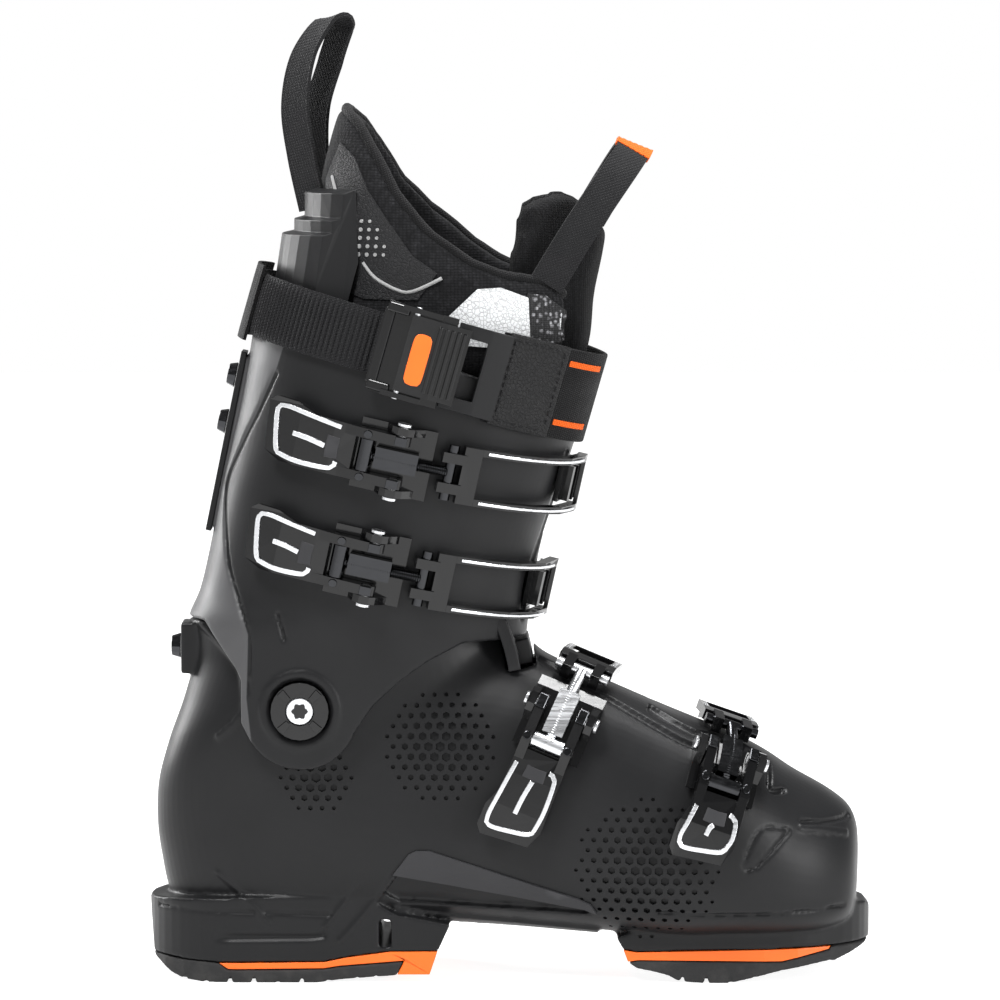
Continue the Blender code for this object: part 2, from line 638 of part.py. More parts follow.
def flat_box(name, along, out, across, collection=CUTTERS):
    """A box given by its ranges along, out from and across a buckle."""
    return box(name, (along[0], out[0], across[0]), (along[1], out[1], across[1]), collection)


def across_pin(name, along, out, low, high, radius, sides=12, collection=CUTTERS):
    return cylinder(name, (along, out, low), (along, out, high), radius, sides, collection)


def side_plate(name, corners, low, high, collection=CUTTERS):
    """An outline in the buckle's side view, along and out, made thick across it."""
    return plate(name, corners, low, high, "XY", collection)


def join(thing, *others):
    for other in others:
        boolean(thing, other, "UNION")
    return settle(thing)


def buckle_base(name):
    """The riveted base plate with the two ears that carry the lever."""
    base = flat_box(name, (-17, 14), (1.3, 2.7), (-14.6, 14.6), BOOT)
    ear = [(-7, 1.5), (-4.5, 8.5), (-2, 10.8), (2, 10.8), (4.5, 8.5), (10, 1.5)]
    ears = [side_plate(name + "_ear", ear, low, low + 3.2) for low in (-14.6, 11.4)]
    join(base, *ears)
    boolean(base, across_pin(name + "_bore", 0, PIN_HEIGHT, -20, 20, 2.35))
    return settle(base)


def buckle_lever(name, length):
    """The lever: a thumb plate behind, and two fork arms that reach the hinge."""
    lever = plate(name, [(-length, -12), (-length + 3, -14.5), (-length + 12, -14.5), (-length + 20, -11.3),
                         (-20, -11.1), (-17.5, -8), (-17.5, 8), (-20, 11.1), (-length + 9, 11.5),
                         (-length + 2, 8.5)], 5.6, 8.2, "XY", BOOT)
    lever.data.transform(Matrix.Rotation(-math.pi / 2, 4, "X"))
    for vertex in lever.data.vertices:
        vertex.co.z = -vertex.co.z
    lever.data.flip_normals()
    arm = [(-22, 4.6), (-22, 8.2), (-14, 9.6), (-3, 11), (0.5, 11.2), (3.2, 9.4), (3.9, 7), (3.0, 4.6),
           (0.5, 3.4), (-3, 3.4), (-13, 3.5), (-16, 3.9)]
    arms = [side_plate(name + "_arm", arm, low, low + 4) for low in (-11, 7)]
    join(lever, *arms)
    boolean(lever, across_pin(name + "_hinge_bore", 0, PIN_HEIGHT, -20, 20, 2.35))
    boolean(lever, across_pin(name + "_barrel_bore", -BARREL_BACK, BARREL_HEIGHT, -20, 20, 1.85))
    return settle(lever)


def buckle_rod(name):
    """The threaded rod: its barrel turns in the lever's fork, and its cross bar carries the bail."""
    rod = flat_box(name, (-12, TRUNNION), (4.9, 7.5), (-3, 3), BOOT)
    return join(rod, across_pin(name + "_barrel", -BARREL_BACK, BARREL_HEIGHT, -6.6, 6.6, 3.0),
                across_pin(name + "_trunnion", -BARREL_BACK, BARREL_HEIGHT, -10.9, 10.9, 1.5),
                across_pin(name + "_cross_bar", TRUNNION, BARREL_HEIGHT, -11.5, 11.5, 2.1))


def buckle_bail(name, hook):
    """The bail: two eyes on the rod's cross bar, two rails along the rack, and the hook bar across them."""
    bail = flat_box(name, (TRUNNION + 4, TRUNNION + 11), (3.9, 8.5), (-12.0, 12.0), BOOT)
    rails = []
    for low in (-12.0, 9.0):
        rails.append(flat_box(name + "_rail", (TRUNNION + 9, hook + 3), (4.4, 8.4), (low, low + 3.0)))
    eyes = []
    for low in (-8.4, 4.2):
        eyes.append(flat_box(name + "_eye", (TRUNNION - 4, TRUNNION + 5), (2.6, 9.4), (low, low + 4.2)))
    bar = flat_box(name + "_hook", (hook, hook + 1.8), (6.6, 8.4), (-10, 10))
    join(bail, *rails, *eyes, bar)
    for eye in (-6.3, 6.3):
        boolean(bail, across_pin(name + "_bore", TRUNNION, BARREL_HEIGHT, eye - 3, eye + 3, 2.5))
    return settle(bail)


def buckle_rack(name, hook, before, after):
    """The rack: a riveted base with cross teeth; the hook bar drops between two of them."""
    rack = flat_box(name, (hook - before, hook + after), (1.2, 3.4), (-8.2, 8.2), BOOT)
    teeth = []
    pitch = 6.0
    first = hook - 4.0 - pitch * int((before - 6) / pitch)
    while first + 2.2 < hook + after - 1:
        teeth.append(flat_box(name + "_tooth", (first, first + 2.2), (2.8, 6.5), (-7.4, 7.4)))
        first += pitch
    return join(rack, *teeth)


# Name, direction of the line in the side view, place of the lever's hinge, slope of the line across the
# boot, lever length, hook's distance past the front of the line, rack's length before and after the hook.
CUFF_BUCKLES = (
    ("upper_cuff", (0.977, -0.215), (-46.2, 221.0, -52), -0.08, 54.0, -9.0, 13.0, 15.0),
    ("lower_cuff", (0.977, -0.215), (-59.5, 177.5, -49), -0.08, 51.0, -9.0, 13.0, 15.0),
)
SHELL_BUCKLES = (
    ("instep", (0.375, 0.927), (21.0, 112.0, -38), 0.14, 56.0, 7.0, 11.0, 13.0),
    ("toe", (0.337, 0.941), (89.5, 92.0, -38), -0.09, 44.0, 7.0, 11.0, 13.0),
)


def make_buckle(keys, spec, parent=None):
    """One buckle on its line over the boot; the lever, rod and bail each hang on an empty at their pin."""
    label, along, place, slope, length, hook_past_front, before, after = spec
    line = Outline(keys, along, place, slope)
    hook = line.front + hook_past_front
    hinge = line.world(0, PIN_HEIGHT, 0)
    barrel = line.world(-BARREL_BACK, BARREL_HEIGHT, 0)
    cross_bar = line.world(TRUNNION, BARREL_HEIGHT, 0)
    lever_pivot = make_empty("lever_pivot_" + label, hinge, parent)
    rod_pivot = make_empty("rod_pivot_" + label, barrel, lever_pivot)
    bail_pivot = make_empty("bail_pivot_" + label, cross_bar, rod_pivot)
    keep(line.wrap(buckle_base("base_" + label)), "buckle_black", parent)
    keep(line.wrap(buckle_rack("rack_" + label, hook, before, after)), "buckle_black", parent)
    keep(line.wrap(buckle_lever("lever_" + label, length)), "buckle_black", lever_pivot)
    keep(line.wrap(buckle_rod("rod_" + label)), "bright_metal", rod_pivot)
    keep(line.wrap(buckle_bail("bail_" + label, hook)), "buckle_black", bail_pivot)
    for side, end in ((-1, "a"), (1, "b")):
        name = "rivet_" + label + "_" + end
        rivet = across_pin(name, 0, PIN_HEIGHT, side * 7.2, side * 15.0, 2.0, 12, BOOT)
        join(rivet, across_pin(name + "_head", 0, PIN_HEIGHT, side * 14.95, side * 16.2, 3.0))
        keep(line.wrap(rivet, rigid_at=0.0), "bright_metal", parent)


STRAP_LINE = (0.961, -0.276)
STRAP_PLACE = (-40.0, 264.5, -54.0)
CAM_PIN_HEIGHT = 7.4


def band(name, line, along, out, across, slot, parent):
    return keep(line.wrap(flat_box(name, along, out, across, BOOT), 9.0), slot, parent)


def make_strap(parent):
    """The power strap round the top of the cuff, its cam buckle, hook and rear keeper."""
    line = Outline(CUFF_SECTIONS, STRAP_LINE, STRAP_PLACE, 0.0)
    front_start = 36.0
    meeting = 2 * line.front - front_start + 20
    band("strap_front", line, (front_start, meeting), (0.9, 3.1), (-19, 19), "webbing", parent)
    webbing_start = meeting - line.length + 0.5
    band("strap_webbing", line, (webbing_start, 4.0), (0.9, 2.5), (-13, 13), "webbing", parent)
    rear = line.front - line.length / 2
    band("strap_sleeve", line, (rear - 24, rear + 20), (2.9, 4.4), (-16, 16), "webbing", parent)
    frame = flat_box("cam_frame", (-12, 16.5), (2.9, 5.0), (-19, 19), BOOT)
    cheeks = [flat_box("cam_cheek", (-6, 10), (4.0, 9.6), (low, low + 2.2)) for low in (-19, 16.8)]
    join(frame, *cheeks)
    boolean(frame, across_pin("cam_bore", 0, CAM_PIN_HEIGHT, -30, 30, 1.5))
    keep(line.wrap(settle(frame)), "buckle_black", parent)
    pin = across_pin("cam_pin", 0, CAM_PIN_HEIGHT, -19.4, 19.4, 1.2, 12, BOOT)
    keep(line.wrap(pin, rigid_at=0.0), "bright_metal", parent)
    hinge = line.world(0, CAM_PIN_HEIGHT, 0)
    pivot = make_empty("cam_pivot", hinge, parent)
    lever = flat_box("cam_lever", (-1.5, 22), (5.6, 9.2), (-16, 16), BOOT)
    boolean(lever, across_pin("cam_lever_bore", 0, CAM_PIN_HEIGHT, -30, 30, 1.5))
    keep(line.wrap(settle(lever)), "buckle_black", pivot)
    hook = flat_box("strap_hook", (17.2, 39.5), (3.3, 5.2), (-18, 18), BOOT)
    boolean(hook, flat_box("hook_slot", (22, 30), (0, 9), (-12.5, 12.5)))
    keep(line.wrap(settle(hook)), "grey_plastic", parent)


def make_spine(parent):
    """The spine plate on the back of the cuff, and the bolts that lock the cuff to the shell."""
    low, high = Vector((-124.6, 0, 187.0)), Vector((-109.2, 0, 262.0))
    along = (high - low).normalized()
    out = Vector((-along.z, 0, along.x))
    corners = (low + out * 0.9, high + out * 0.9, high + out * 3.2, low + out * 3.2)
    spine = plate("spine_plate", [tuple(corner.xz) for corner in corners], -8, 8)
    keep(spine, "grey_plastic", parent)
    for name, share in (("spine_bolt_top", 0.86), ("spine_bolt_middle", 0.6)):
        foot = low + (high - low) * share + out * 3.6
        keep(cylinder(name, foot, foot + out * 3.6, 5.4, 12, BOOT, 4.2), "bright_metal", parent)
    keep(cylinder("spine_bolt_low", (-138.7, 0, 138), (-142.6, 0, 138), 5.4, 12, BOOT, 4.2), "bright_metal")


def ribbon(name, path, widths, thickness, parent, slot="webbing"):
    """A flat ribbon along a path, its width turned the same way at every point."""
    path = [Vector(p) for p in path]
    outer, inner = [], []
    for k, point in enumerate(path):
        ahead = (path[min(k + 1, len(path) - 1)] - path[max(k - 1, 0)]).normalized()
        wide = Vector(widths[k] if isinstance(widths, list) else widths)
        wide = wide - ahead * wide.dot(ahead)
        out = ahead.cross(wide).normalized() * thickness / 2
        outer.append([point - wide / 2 + out, point + wide / 2 + out])
        inner.append([point - wide / 2 - out, point + wide / 2 - out])
    return keep(slab(name, outer, inner), slot, parent)


def loop_path(start, top, end, bulge, count):
    """A smooth path from start up round the top and back down to end."""
    start, top, end, bulge = Vector(start), Vector(top), Vector(end), Vector(bulge)
    path = []
    for share in np.linspace(0, 1, count):
        angle = math.pi * share
        rise = math.sin(angle) ** 0.6
        base = start.lerp(end, (1 - math.cos(angle)) / 2)
        path.append(base + (top - (start + end) / 2) * rise + bulge * math.sin(angle) ** 2)
    return path


def make_pull_loops(parent):
    ribbon("rear_pull_loop", loop_path((-86.5, -8, 332.6), (-76, 0, 402), (-85, 7, 332.6), (-5, 0, 0), 17),
           (11, -14, 3), 1.6, parent)
    ribbon("tongue_pull_loop", loop_path((15, -38, 297.5), (48, -12, 345), (34, 4, 325), (2, -4, 0), 17),
           (13.5, 3, -5.5), 1.6, parent)


def centre_box():
    """The buckles stand out on one side only, so the boot moves over to centre its box on the frame."""
    for thing in bpy.data.objects:
        if thing.parent is None:
            thing.location.y += BUCKLE_SIDE_SHIFT * MM


def make_boot():
    make_lower_shell()
    make_soles()
    make_inside()
    cuff_pivot = make_empty("cuff_pivot", (ANKLE[0], 0, ANKLE[1]))
    make_cuff(cuff_pivot)
    make_pivots(cuff_pivot)
    make_spoiler(cuff_pivot)
    make_liner_upper(cuff_pivot)
    make_tongue(cuff_pivot)
    make_spine(cuff_pivot)
    make_pull_loops(cuff_pivot)
    make_strap(cuff_pivot)
    for spec in CUFF_BUCKLES:
        make_buckle(CUFF_SECTIONS, spec, cuff_pivot)
    for spec in SHELL_BUCKLES:
        make_buckle(SHELL_SECTIONS, spec)
    centre_box()


make_boot()
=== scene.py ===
"""Looks of the alpine ski boot: shells, padded liner, buckle inlays, strap, materials and light.

Lengths in this file are millimetres in the boot's own frame (+X toe, +Y inner side, +Z up), and MM turns them
into metres. The boot's middle plane lies at y = SIDE.
"""
import json
import math

import bmesh
import bpy
import numpy as np
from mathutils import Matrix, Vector
from mathutils.bvhtree import BVHTree


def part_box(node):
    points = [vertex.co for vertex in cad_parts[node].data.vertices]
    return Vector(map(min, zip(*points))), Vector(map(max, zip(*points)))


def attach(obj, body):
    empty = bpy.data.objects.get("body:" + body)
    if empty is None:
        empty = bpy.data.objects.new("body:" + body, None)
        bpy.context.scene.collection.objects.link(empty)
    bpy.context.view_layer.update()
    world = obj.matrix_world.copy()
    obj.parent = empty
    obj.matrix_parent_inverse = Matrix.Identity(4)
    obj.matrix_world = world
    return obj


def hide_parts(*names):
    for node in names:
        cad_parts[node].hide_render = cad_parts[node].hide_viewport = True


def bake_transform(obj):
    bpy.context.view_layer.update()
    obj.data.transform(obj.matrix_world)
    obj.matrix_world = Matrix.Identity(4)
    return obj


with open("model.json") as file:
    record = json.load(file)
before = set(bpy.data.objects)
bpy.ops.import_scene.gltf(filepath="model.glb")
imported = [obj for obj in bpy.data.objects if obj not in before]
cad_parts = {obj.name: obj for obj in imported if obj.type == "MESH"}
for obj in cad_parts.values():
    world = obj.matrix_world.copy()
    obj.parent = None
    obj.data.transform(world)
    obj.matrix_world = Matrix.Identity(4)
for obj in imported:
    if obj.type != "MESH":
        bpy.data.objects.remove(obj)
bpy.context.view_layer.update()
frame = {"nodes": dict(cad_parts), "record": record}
NODES = frame["nodes"]

MM = 0.001
TAU = 2 * math.pi
SIDE = 3.5
ANKLE = (-87.0, 116.0)
SIDES = ((-1, "lateral"), (1, "medial"))

VIEW_TARGET = (-0.0042, 0.0, 0.1998)
VIEW_DISTANCE = 2.217
VIEW_ELEVATION = 5.0
LENS = 190.0
LIGHTS = (
    ("key_light", (-0.7, -1.1, 2.0), (0, 0, 0.2), (0.7, 0.7), 62),
    ("fill_light", (1.5, -1.2, 0.6), (0, 0, 0.15), (0.4, 1.0), 24),
    ("top_light", (0.3, 0.2, 2.0), (0, 0, 0.2), (0.9, 0.6), 52),
    ("rim_light", (-1.4, 1.0, 0.8), (0, 0, 0.2), (0.6, 1.2), 30),
)

# ---------------------------------------------------------------- camera, light and floor


def make_camera():
    """A long lens level with the middle of the boot and a few degrees above it, looking along +Y."""
    data = bpy.data.cameras.new("camera")
    data.lens = LENS
    data.sensor_width = 36.0
    data.clip_end = 30.0
    camera = bpy.data.objects.new("camera", data)
    bpy.context.scene.collection.objects.link(camera)
    target = Vector(VIEW_TARGET)
    elevation = math.radians(VIEW_ELEVATION)
    camera.location = target + Vector((0, -math.cos(elevation), math.sin(elevation))) * VIEW_DISTANCE
    camera.rotation_euler = (target - camera.location).to_track_quat("-Z", "Y").to_euler()
    bpy.context.scene.camera = camera


def area_light(name, place, target, size, power):
    data = bpy.data.lights.new(name, "AREA")
    data.shape = "RECTANGLE"
    data.size, data.size_y = size
    data.energy = power
    light = bpy.data.objects.new(name, data)
    light.location = place
    light.rotation_euler = (Vector(target) - Vector(place)).to_track_quat("-Z", "Y").to_euler()
    bpy.context.scene.collection.objects.link(light)


def make_stage():
    world = bpy.data.worlds.new("studio")
    world.use_nodes = True
    tree = world.node_tree
    tree.nodes["Background"].inputs["Color"].default_value = (1.0, 1.0, 1.0, 1.0)
    split = tree.nodes.new("ShaderNodeSeparateXYZ")
    tree.links.new(tree.nodes.new("ShaderNodeTexCoord").outputs["Generated"], split.inputs[0])
    fade = tree.nodes.new("ShaderNodeMapRange")
    for key, value in (("From Min", 0.06), ("From Max", 0.3), ("To Min", 1.0), ("To Max", 0.22)):
        fade.inputs[key].default_value = value
    tree.links.new(split.outputs["Z"], fade.inputs["Value"])
    tree.links.new(fade.outputs[0], tree.nodes["Background"].inputs["Strength"])
    bpy.context.scene.world = world
    bpy.context.scene.view_settings.view_transform = "Standard"
    for light in LIGHTS:
        area_light(*light)
    builder = bmesh.new()
    bmesh.ops.create_grid(builder, x_segments=1, y_segments=1, size=4.0)
    mesh = bpy.data.meshes.new("floor")
    builder.to_mesh(mesh)
    builder.free()
    floor = bpy.data.objects.new("floor", mesh)
    bpy.context.scene.collection.objects.link(floor)
    white = simple_material("floor_white", (0.35, 0.35, 0.35), 0.8)
    glow = white.node_tree.nodes["Principled BSDF"]
    glow.inputs["Emission Color"].default_value = (1.0, 1.0, 1.0, 1.0)
    glow.inputs["Emission Strength"].default_value = 0.9
    floor.data.materials.append(white)


# ---------------------------------------------------------------- materials


class Nodes:
    """Short calls for building one material's node tree."""

    def __init__(self, name):
        self.material = bpy.data.materials.new(name)
        self.material.use_nodes = True
        self.tree = self.material.node_tree
        self.shader = self.tree.nodes["Principled BSDF"]

    def add(self, kind, **settings):
        node = self.tree.nodes.new(kind)
        for key, value in settings.items():
            setattr(node, key, value)
        return node

    def link(self, source, target):
        self.tree.links.new(source, target)

    def feed(self, target, value):
        if isinstance(value, bpy.types.NodeSocket):
            self.link(value, target)
        elif isinstance(value, tuple) and len(value) == 3 and target.type == "RGBA":
            target.default_value = (*value, 1.0)
        else:
            target.default_value = value

    def place(self):
        return self.add("ShaderNodeTexCoord").outputs["Object"]

    def math(self, operation, a, b=0.0):
        node = self.add("ShaderNodeMath", operation=operation)
        self.feed(node.inputs[0], a)
        self.feed(node.inputs[1], b)
        return node.outputs[0]

    def mapped(self, kind, key, value, **settings):
        """A texture node on object coordinates, with one setting of its mapping."""
        mapping = self.add("ShaderNodeMapping")
        self.link(self.place(), mapping.inputs["Vector"])
        mapping.inputs[key].default_value = value
        node = self.add(kind, **settings)
        self.link(mapping.outputs[0], node.inputs["Vector"])
        return node

    def noise(self, scale, detail=3.0, rough=0.6, stretch=(1, 1, 1)):
        node = self.mapped("ShaderNodeTexNoise", "Scale", stretch)
        node.inputs["Scale"].default_value = scale
        node.inputs["Detail"].default_value = detail
        node.inputs["Roughness"].default_value = rough
        return node.outputs["Fac"]

    def cells(self, scale, feature="F1", stretch=(1, 1, 1), jitter=1.0):
        node = self.mapped("ShaderNodeTexVoronoi", "Scale", stretch, feature=feature)
        node.inputs["Scale"].default_value = scale
        node.inputs["Randomness"].default_value = jitter
        return node.outputs["Distance"]

    def waves(self, scale, direction, turn):
        node = self.mapped("ShaderNodeTexWave", "Rotation", turn, bands_direction=direction)
        node.inputs["Scale"].default_value = scale
        return node.outputs["Fac"]

    def spread(self, value, low, high, to_low, to_high):
        node = self.add("ShaderNodeMapRange")
        self.feed(node.inputs["Value"], value)
        keys = ("From Min", "From Max", "To Min", "To Max")
        for key, number in zip(keys, (low, high, to_low, to_high)):
            node.inputs[key].default_value = number
        return node.outputs[0]

    def blend(self, share, first, second):
        node = self.add("ShaderNodeMix", data_type="RGBA")
        self.feed(node.inputs["Factor"], share)
        self.feed(node.inputs["A"], first)
        self.feed(node.inputs["B"], second)
        return node.outputs["Result"]

    def colour(self, value):
        self.feed(self.shader.inputs["Base Color"], value)

    def rough(self, value):
        self.feed(self.shader.inputs["Roughness"], value)

    def bump(self, *layers):
        """Layers of (height, distance in mm), from coarse to fine."""
        normal = None
        for height, distance in layers:
            node = self.add("ShaderNodeBump")
            node.inputs["Strength"].default_value = 1.0
            node.inputs["Distance"].default_value = distance * MM
            self.link(height, node.inputs["Height"])
            if normal is not None:
                self.link(normal, node.inputs["Normal"])
            normal = node.outputs["Normal"]
        self.link(normal, self.shader.inputs["Normal"])


def dimmed(colour, share):
    return tuple(c * share for c in colour)


def simple_material(name, colour, rough):
    nodes = Nodes(name)
    nodes.colour(colour)
    nodes.rough(rough)
    return nodes.material


def plastic(name, colour, rough, grain=0.02, panel=None, specular=0.2):
    """Moulded plastic: fine spark texture, faint cloudy gloss, rubbed edges and darker cloudy patches of
    dust.
    """
    nodes = Nodes(name)
    nodes.shader.inputs["Specular IOR Level"].default_value = specular
    cloud = nodes.noise(28.0, 4.0)
    fine = nodes.noise(2600.0, 2.0)
    base = colour
    if panel is not None:
        mark = nodes.add("ShaderNodeAttribute", attribute_name="panel").outputs["Fac"]
        base = nodes.blend(nodes.spread(mark, -0.25, 0.25, 0.0, 1.0), colour, panel)
    edge = nodes.add("ShaderNodeNewGeometry").outputs["Pointiness"]
    worn = nodes.math("MULTIPLY", nodes.spread(edge, 0.53, 0.62, 0.0, 0.5),
                      nodes.spread(cloud, 0.4, 0.7, 0.2, 1.0))
    lighter = tuple(min(1.0, c * 1.8 + 0.012) for c in (panel or colour))
    dusty = nodes.blend(nodes.spread(cloud, 0.35, 0.75, 0.0, 0.22), base, dimmed(colour, 0.55))
    nodes.colour(nodes.blend(worn, dusty, lighter))
    nodes.rough(nodes.math("ADD", nodes.spread(cloud, 0.3, 0.7, rough - 0.05, rough + 0.07),
                           nodes.spread(fine, 0.3, 0.7, -0.03, 0.03)))
    nodes.bump((nodes.noise(160.0, 2.0), 0.02), (fine, grain))
    return nodes.material


def metal(name, colour, rough):
    """Brushed metal with faint scratches."""
    nodes = Nodes(name)
    brushed = nodes.noise(900.0, 3.0, 0.6, (0.06, 1.0, 1.0))
    scratch = nodes.noise(240.0, 5.0, 0.75, (1.0, 0.2, 0.5))
    nodes.shader.inputs["Metallic"].default_value = 1.0
    nodes.colour(nodes.blend(nodes.spread(scratch, 0.5, 0.8, 0.0, 0.2), colour, dimmed(colour, 0.6)))
    nodes.rough(nodes.spread(brushed, 0.3, 0.7, rough - 0.06, rough + 0.10))
    nodes.bump((brushed, 0.006), (scratch, 0.004))
    return nodes.material


def rubber(name, colour):
    """Sole rubber: matte, pitted and a little dusty."""
    nodes = Nodes(name)
    pits = nodes.cells(900.0)
    dust = nodes.noise(45.0, 5.0, 0.7)
    nodes.colour(nodes.blend(nodes.spread(dust, 0.5, 0.8, 0.0, 0.45), colour, (0.075, 0.072, 0.068)))
    nodes.rough(nodes.spread(dust, 0.3, 0.7, 0.66, 0.86))
    nodes.bump((dust, 0.12), (pits, 0.06))
    return nodes.material


def knit(name, colour, second, pitch=1.5):
    """Spacer knit: rows of small loops with lighter flecks, and painted shade that darkens each loop towards
    its rim and in the gaps between loops.
    """
    nodes = Nodes(name)
    frequency = 1000.0 / pitch
    loops = nodes.cells(frequency, "F1", (1.0, 1.0, 1.3), 0.25)
    fleck = nodes.cells(frequency * 0.5, "F1", (1.0, 0.6, 1.0), 1.0)
    cloud = nodes.noise(60.0, 3.0)
    yarn = nodes.blend(nodes.spread(fleck, 0.1, 0.45, 0.85, 0.0), colour, second)
    # Painted shade: the colour darkens away from each loop's centre, into the gaps between the loops.
    nodes.colour(nodes.blend(nodes.spread(loops, 0.25, 0.7, 0.0, 0.75), yarn, dimmed(colour, 0.25)))
    nodes.rough(nodes.spread(cloud, 0.3, 0.7, 0.82, 0.95))
    nodes.shader.inputs["Sheen Weight"].default_value = 0.04
    nodes.shader.inputs["Specular IOR Level"].default_value = 0.1
    nodes.bump((nodes.spread(loops, 0.0, 0.8, 1.0, 0.0), 0.35), (nodes.noise(3000.0, 2.0), 0.08))
    return nodes.material


def woven(name, colour, pitch=1.1):
    """Webbing: a tight weave of two crossing sets of threads, with painted shade that darkens the colour
    between the threads.
    """
    nodes = Nodes(name)
    frequency = 1000.0 / pitch / 6.2832 * 2.0
    weft = nodes.waves(frequency, "X", (0, 0.28, 0))
    warp = nodes.waves(frequency, "Z", (0, 0.28, 0))
    weave = nodes.math("MULTIPLY", weft, warp)
    cloud = nodes.noise(70.0, 4.0)
    # Painted shade: the colour darkens where the two sets of threads dip, in the grooves between the threads.
    nodes.colour(nodes.blend(nodes.spread(weave, 0.0, 0.8, 0.55, 0.0), colour, dimmed(colour, 0.3)))
    nodes.rough(nodes.spread(cloud, 0.3, 0.7, 0.72, 0.9))
    nodes.shader.inputs["Sheen Weight"].default_value = 0.04
    nodes.shader.inputs["Specular IOR Level"].default_value = 0.15
    nodes.bump((weave, 0.25), (nodes.noise(3500.0, 2.0), 0.05))
    return nodes.material


def leather(name, colour):
    """Grained leather: raised cells with creases between them, and painted shade that darkens the creases."""
    nodes = Nodes(name)
    cells = nodes.cells(620.0, "DISTANCE_TO_EDGE")
    small = nodes.cells(1500.0, "DISTANCE_TO_EDGE")
    cloud = nodes.noise(50.0, 4.0)
    # Painted shade: the colour darkens towards the cell edges, in the creases between the raised cells.
    nodes.colour(nodes.blend(nodes.spread(cells, 0.0, 0.12, 0.7, 0.0), colour, dimmed(colour, 0.35)))
    nodes.rough(nodes.spread(cloud, 0.3, 0.7, 0.42, 0.62))
    nodes.shader.inputs["Specular IOR Level"].default_value = 0.2
    nodes.bump((nodes.spread(cells, 0.0, 0.16, 0.0, 1.0), 0.16),
               (nodes.spread(small, 0.0, 0.2, 0.0, 1.0), 0.05))
    return nodes.material


MATERIALS = {
    "shell": plastic("shell_plastic", (0.0085, 0.0086, 0.0092), 0.40),
    "cuff": plastic("cuff_plastic", (0.0085, 0.0086, 0.0092), 0.40, panel=(0.062, 0.062, 0.064)),
    "grey": plastic("grey_plastic", (0.026, 0.026, 0.028), 0.42),
    "buckle": plastic("buckle_black", (0.0025, 0.0025, 0.0028), 0.13, 0.006, None, 0.42),
    "board": plastic("board_plastic", (0.08, 0.08, 0.08), 0.5),
    "orange": plastic("orange_plastic", (0.86, 0.13, 0.008), 0.42, 0.02, None, 0.4),
    "metal": metal("bright_metal", (0.74, 0.75, 0.77), 0.26),
    "dark_metal": metal("black_chrome", (0.045, 0.046, 0.049), 0.17),
    "rubber": rubber("tread_rubber", (0.006, 0.006, 0.0065)),
    "knit": knit("liner_knit", (0.011, 0.011, 0.012), (0.022, 0.022, 0.024)),
    "speckle": knit("speckled_fabric", (0.03, 0.03, 0.031), (0.42, 0.42, 0.44), 1.1),
    "foam": knit("liner_foam", (0.0085, 0.0085, 0.009), (0.014, 0.014, 0.0155), 0.9),
    "smooth": leather("liner_smooth", (0.014, 0.014, 0.015)),
    "piping": woven("piping_tape", (0.006, 0.006, 0.0065), 0.9),
    "webbing": woven("strap_webbing_weave", (0.013, 0.013, 0.014)),
    "sleeve": woven("strap_smooth_weave", (0.0055, 0.0055, 0.006), 0.8),
    "leather": leather("strap_leather", (0.009, 0.009, 0.0095)),
    "white": leather("silver_white_panel", (0.62, 0.63, 0.64)),
    "thread": woven("white_thread", (0.45, 0.45, 0.45), 0.5),
    "orange_tape": woven("orange_tape", (0.86, 0.13, 0.008), 0.9),
}
CAD_LOOKS = {
    "shell_plastic": "shell", "cuff_plastic": "cuff", "grey_plastic": "grey", "buckle_black": "buckle",
    "board_plastic": "board", "bright_metal": "metal", "tread_rubber": "rubber",
    "orange_plastic": "orange", "liner_foam": "foam", "webbing": "webbing",
}

# ---------------------------------------------------------------- mesh tools


def new_object(name, mesh):
    thing = bpy.data.objects.new(name, mesh)
    bpy.context.scene.collection.objects.link(thing)
    return thing


def mesh_from(name, points, faces):
    """An object from points in millimetres and faces, with its normals made to face out."""
    mesh = bpy.data.meshes.new(name)
    mesh.from_pydata([tuple(p) for p in np.asarray(points) * MM], [], faces)
    builder = bmesh.new()
    builder.from_mesh(mesh)
    bmesh.ops.remove_doubles(builder, verts=builder.verts, dist=0.005 * MM)
    bmesh.ops.recalc_face_normals(builder, faces=builder.faces)
    builder.to_mesh(mesh)
    builder.free()
    return new_object(name, mesh)


def apply(thing):
    """Replace the mesh with the one that the modifiers make."""
    bpy.context.view_layer.update()
    graph = bpy.context.evaluated_depsgraph_get()
    mesh = bpy.data.meshes.new_from_object(thing.evaluated_get(graph))
    thing.modifiers.clear()
    thing.data = mesh
    return thing


def modify(thing, kind, **settings):
    modifier = thing.modifiers.new(kind.lower(), kind)
    for key, value in settings.items():
        setattr(modifier, key, value)
    return modifier


def cut(thing, cutter, operation="DIFFERENCE"):
    modify(thing, "BOOLEAN", object=cutter, operation=operation, solver="EXACT", use_self=False)
    apply(thing)
    bpy.data.objects.remove(cutter)
    return thing


def joined(name, things):
    """One object from several that may overlap."""
    builder = bmesh.new()
    for thing in things:
        mesh = thing.data.copy()
        mesh.transform(thing.matrix_world)
        builder.from_mesh(mesh)
        bpy.data.meshes.remove(mesh)
        bpy.data.objects.remove(thing)
    mesh = bpy.data.meshes.new(name)
    builder.to_mesh(mesh)
    builder.free()
    return new_object(name, mesh)


def remeshed(thing, voxel, smooth=4, factor=0.5):
    """An even fine mesh of the same solid, with softened edges."""
    modify(thing, "REMESH", mode="VOXEL", voxel_size=voxel * MM, use_smooth_shade=True)
    modify(thing, "SMOOTH", iterations=smooth, factor=factor)
    apply(thing)
    thing.data.shade_smooth()
    return thing


def bevelled(thing, width, segments=2, angle=35.0):
    modify(thing, "BEVEL", width=width * MM, segments=segments, limit_method="ANGLE",
           angle_limit=math.radians(angle), harden_normals=False)
    return thing


